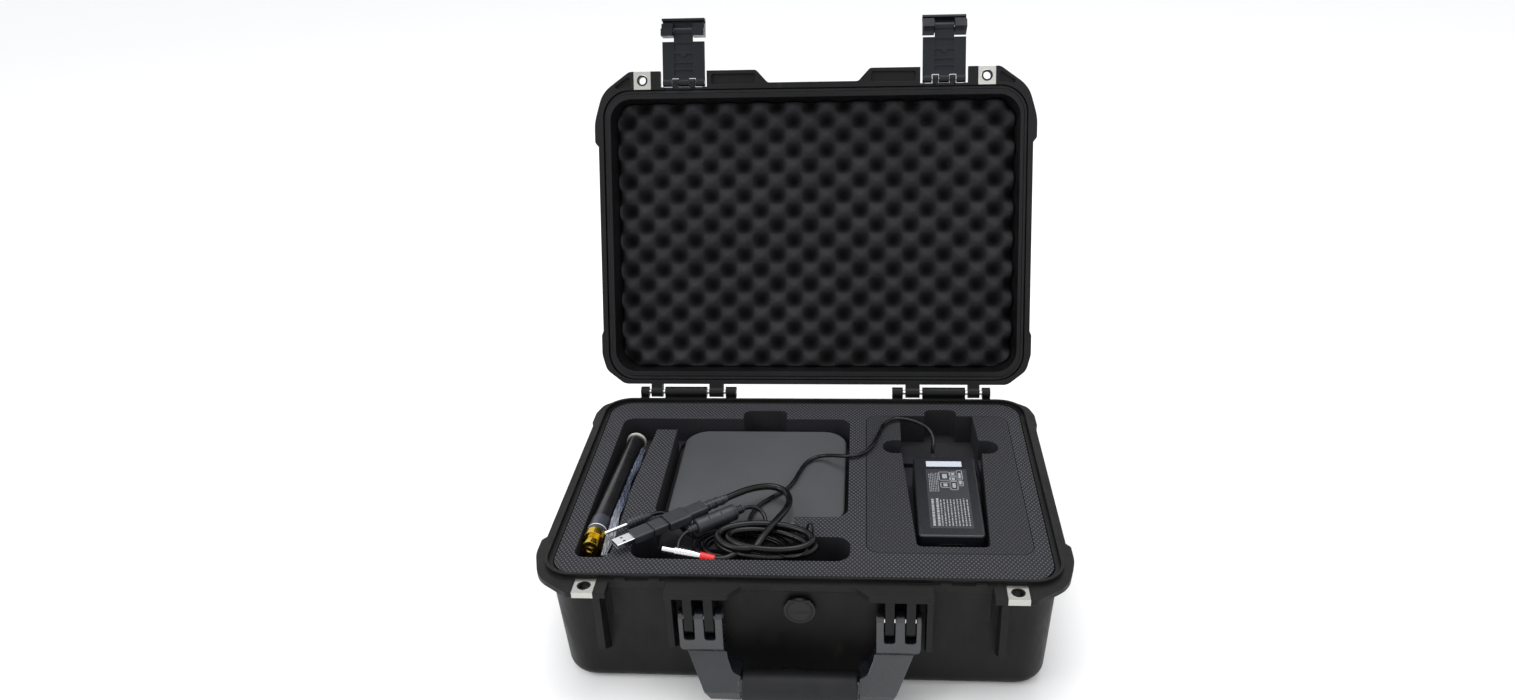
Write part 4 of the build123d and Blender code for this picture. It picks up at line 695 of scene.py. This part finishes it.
class KitLeads(bpy.types.Operator):
    """Wind the two leads"""

    bl_idname = "kit.leads"
    bl_label = "Leads"

    def execute(self, context):
        sizes = context.scene.kit_sizes
        dc = lead("low_voltage_lead", joined(dc_route()), sizes.dc_diameter)
        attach(dc, "base")
        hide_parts("dc_lead", "dc_lead_links", "dc_coil")
        spline_length(dc)
        usb = lead("data_lead", joined(usb_route()), sizes.usb_diameter)
        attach(usb, "base")
        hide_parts("usb_lead", "usb_lead_tail", "usb_coil")
        spline_length(usb)
        for number, points in enumerate((TIE_UP, TIE_LOW), 1):
            tie = lead(f"coil_tie_{number}", joined([points]), 0.0022)
            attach(tie, "base")
        return {"FINISHED"}


def crate_height(x, y, sizes):
    """Height of the lid foam's face: the product of a cosine across and a cosine up makes crests and
    hollows in staggered rows; powers flatten the crests. The slow waves that make it uneven are added
    where the face is built."""
    px, py = sizes.crate_pitch
    wave = np.cos(2 * np.pi * (x - 0.0528) / px) * np.cos(2 * np.pi * (y + 0.1295) / py)
    shape = 0.5 + 0.5 * np.sign(wave) * np.abs(wave) ** 0.8
    return sizes.crate_depth * shape


class KitLidFoam(bpy.types.Operator):
    """Build the egg-crate foam of the lid"""

    bl_idname = "kit.lid_foam"
    bl_label = "Lid foam"

    def execute(self, context):
        sizes = context.scene.kit_sizes
        rows, cols = 190, 270
        corner = 0.023
        half_x, half_y = 0.2240, 0.1500
        u, v = np.meshgrid(np.linspace(-1, 1, cols), np.linspace(-1, 1, rows))
        x, y = u * half_x, v * half_y
        # Pull the grid's corners in to the rounded outline.
        dx = np.maximum(np.abs(x) - (half_x - corner), 0)
        dy = np.maximum(np.abs(y) - (half_y - corner), 0)
        far = np.hypot(dx, dy)
        square = np.maximum(dx, dy)
        pull = np.where(far > 1e-9, square / np.maximum(far, 1e-9), 1.0)
        x = np.sign(x) * (np.minimum(np.abs(x), half_x - corner) + dx * pull)
        y = np.sign(y) * (np.minimum(np.abs(y), half_y - corner) + dy * pull)
        rng = np.random.default_rng(5)
        z = 0.1426 + crate_height(x, y, sizes)
        z = z + 0.0008 * np.sin(31 * x + 2) * np.cos(27 * y) + rng.normal(0, 0.00012, x.shape)
        edge = np.minimum(1 - np.abs(u), 1 - np.abs(v))
        z = z + 0.0035 * np.exp(-edge * 45)
        face = np.stack([x, y, z], -1).reshape(-1, 3)
        ring = np.concatenate([
            np.arange(cols), np.arange(1, rows) * cols + cols - 1,
            (rows - 1) * cols + np.arange(cols - 2, -1, -1), np.arange(rows - 2, 0, -1) * cols])
        back = face[ring] * np.array([0.990, 0.988, 1.0])
        back[:, 2] = 0.1733
        middle = np.array([[0.0, 0.0, 0.1733]])
        count = len(face)
        n = len(ring)
        rim = np.arange(n) + count
        rim_next = np.roll(rim, -1)
        side = np.stack([ring, rim, rim_next, np.roll(ring, -1)], 1)
        cap = np.stack([rim, np.full(n, count + n), rim_next], 1)
        faces = grid_faces(rows, cols).tolist() + side.tolist() + cap.tolist()
        points = opened(np.vstack([face, back, middle]))
        data = bpy.data.meshes.new("egg_crate_foam")
        data.from_pydata(points.tolist(), [], faces)
        data.polygons.foreach_set("use_smooth", np.ones(len(data.polygons), bool))
        # crest is 1 on the crests and 0 in the hollows; the foam finish uses it to paint shade into the
        # hollows.
        crest = data.attributes.new("crest", "FLOAT", "POINT")
        share = (crate_height(x, y, sizes) / sizes.crate_depth).ravel()
        crest.data.foreach_set("value", np.concatenate([1 - share, np.full(len(back) + 1, 0.5)]))
        data.materials.append(finish("open_foam"))
        made = bpy.data.objects.new("egg_crate_foam", data)
        context.scene.collection.objects.link(made)
        outward(made)
        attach(made, "lid")
        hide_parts("lid_foam")
        return {"FINISHED"}


def bars(boxes, z0, z1):
    """Closed boxes, one for each row (x from, x to, y from, y to), between two heights."""
    boxes = np.array(boxes, float)
    x0, x1, y0, y1 = boxes.T
    low, high = np.full(len(boxes), z0), np.full(len(boxes), z1)
    corners = np.stack([
        np.stack([x0, y0, low], 1), np.stack([x1, y0, low], 1), np.stack([x1, y1, low], 1),
        np.stack([x0, y1, low], 1), np.stack([x0, y0, high], 1), np.stack([x1, y0, high], 1),
        np.stack([x1, y1, high], 1), np.stack([x0, y1, high], 1)], 1).reshape(-1, 3)
    quads = np.array([
        [0, 3, 2, 1], [4, 5, 6, 7], [0, 1, 5, 4], [1, 2, 6, 5], [2, 3, 7, 6], [3, 0, 4, 7]])
    faces = (quads[None] + 8 * np.arange(len(boxes))[:, None, None]).reshape(-1, 4)
    return corners, faces


class KitLabels(bpy.types.Operator):
    """Print the adapter's label with plain bars in place of lettering"""

    bl_idname = "kit.labels"
    bl_label = "Labels"

    def execute(self, context):
        low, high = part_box("adapter_label")
        x0, y0, top = low[0], low[1], high[2]
        rng = np.random.default_rng(12)
        rows = []

        def text(xa, xb, ya, yb, pitch, thick, gap=0.0011):
            """Columns of short bars that read upwards, as turned lines of small print do."""
            for x in np.arange(xa, xb, pitch):
                y = ya
                while y < yb - 0.001:
                    long = rng.uniform(0.0012, 0.0046)
                    end = min(y + long, yb)
                    rows.append((x0 + x, x0 + x + thick, y0 + y, y0 + end))
                    y = end + gap * rng.uniform(0.6, 1.3)

        text(0.0115, 0.0375, 0.004, 0.050, 0.0032, 0.0011)
        text(0.0030, 0.0095, 0.004, 0.050, 0.0046, 0.0024, 0.0009)
        text(0.0025, 0.0120, 0.062, 0.096, 0.0017, 0.0006)
        frames = (      # middle x and y, half width, half height
            (0.0185, 0.090, 0.006, 0.008), (0.0185, 0.074, 0.005, 0.005), (0.027, 0.094, 0.004, 0.004),
            (0.027, 0.085, 0.004, 0.004), (0.0335, 0.078, 0.003, 0.006), (0.0335, 0.091, 0.003, 0.010),
            (0.027, 0.073, 0.004, 0.008),
        )
        t = 0.0008
        for cx, cy, w, h in frames:
            rows.append((x0 + cx - w, x0 + cx - w + t, y0 + cy - h, y0 + cy + h))
            rows.append((x0 + cx + w - t, x0 + cx + w, y0 + cy - h, y0 + cy + h))
            rows.append((x0 + cx - w, x0 + cx + w, y0 + cy - h, y0 + cy - h + t))
            rows.append((x0 + cx - w, x0 + cx + w, y0 + cy + h - t, y0 + cy + h))
            rows.append((x0 + cx - w * 0.4, x0 + cx + w * 0.4, y0 + cy - h * 0.5, y0 + cy + h * 0.5))
        points, faces = bars(rows, top + 0.00002, top + 0.00007)
        made = new_mesh("adapter_label_bars", points, faces, "print", smooth=False)
        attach(made, "base")
        return {"FINISHED"}


class KitFilm(bpy.types.Operator):
    """Crumple the clear bag beside the pole"""

    bl_idname = "kit.film"
    bl_label = "Film bag"

    def execute(self, context):
        rows, cols = 90, 26
        s, t = np.meshgrid(np.linspace(0, 1, rows), np.linspace(0, 1, cols), indexing="ij")
        y = 0.062 - 0.188 * s
        inner = np.interp(s, [0, 0.3, 0.62, 0.8, 1.0], [-0.1805, -0.1835, -0.1868, -0.1872, -0.1850])
        outer = np.interp(s, [0, 0.3, 0.62, 0.8, 1.0], [-0.1750, -0.1782, -0.1790, -0.1785, -0.1790])
        folds = 0.0011 * np.sin(2 * np.pi * (2.3 * t + 3.1 * s))
        folds = folds + 0.0007 * np.sin(2 * np.pi * (5 * t - 7 * s) + 1)
        x = inner + (outer - inner) * t + 0.0006 * np.sin(19 * s + 5 * t)
        z = 0.1245 + 0.0022 * np.sin(np.pi * t) + folds
        points = np.stack([x, y, z], -1).reshape(-1, 3)
        made = new_mesh("film_bag_fold", points, grid_faces(rows, cols)[:, ::-1], "film")
        thick = made.modifiers.new("thickness", "SOLIDIFY")
        thick.thickness = 0.0003
        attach(made, "base")
        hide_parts("film_bag")
        return {"FINISHED"}


class KitPanel(bpy.types.Panel):
    bl_idname = "VIEW3D_PT_kit_case"
    bl_label = "Kit case"
    bl_space_type = "VIEW_3D"
    bl_region_type = "UI"
    bl_category = "Kit case"

    def draw(self, context):
        column = self.layout.column()
        for group in (context.scene.kit_sizes, context.scene.kit_colours):
            for key in group.__annotations__:
                column.prop(group, key)
        for step in STEPS:
            column.operator(step.bl_idname)


STEPS = (KitStage, KitFinishes, KitLeads, KitLidFoam, KitLabels, KitFilm)
CLASSES = (KitSizes, KitColours, *STEPS, KitPanel)


def register():
    for cls in CLASSES:
        bpy.utils.register_class(cls)
    bpy.types.Scene.kit_sizes = bpy.props.PointerProperty(type=KitSizes)
    bpy.types.Scene.kit_colours = bpy.props.PointerProperty(type=KitColours)


def unregister():
    del bpy.types.Scene.kit_sizes
    del bpy.types.Scene.kit_colours
    for cls in reversed(CLASSES):
        bpy.utils.unregister_class(cls)


def main():
    register()
    bpy.ops.kit.stage()
    bpy.ops.kit.finishes()
    bpy.ops.kit.leads()
    bpy.ops.kit.lid_foam()
    bpy.ops.kit.labels()
    bpy.ops.kit.film()


if __name__ == "__main__":
    main()
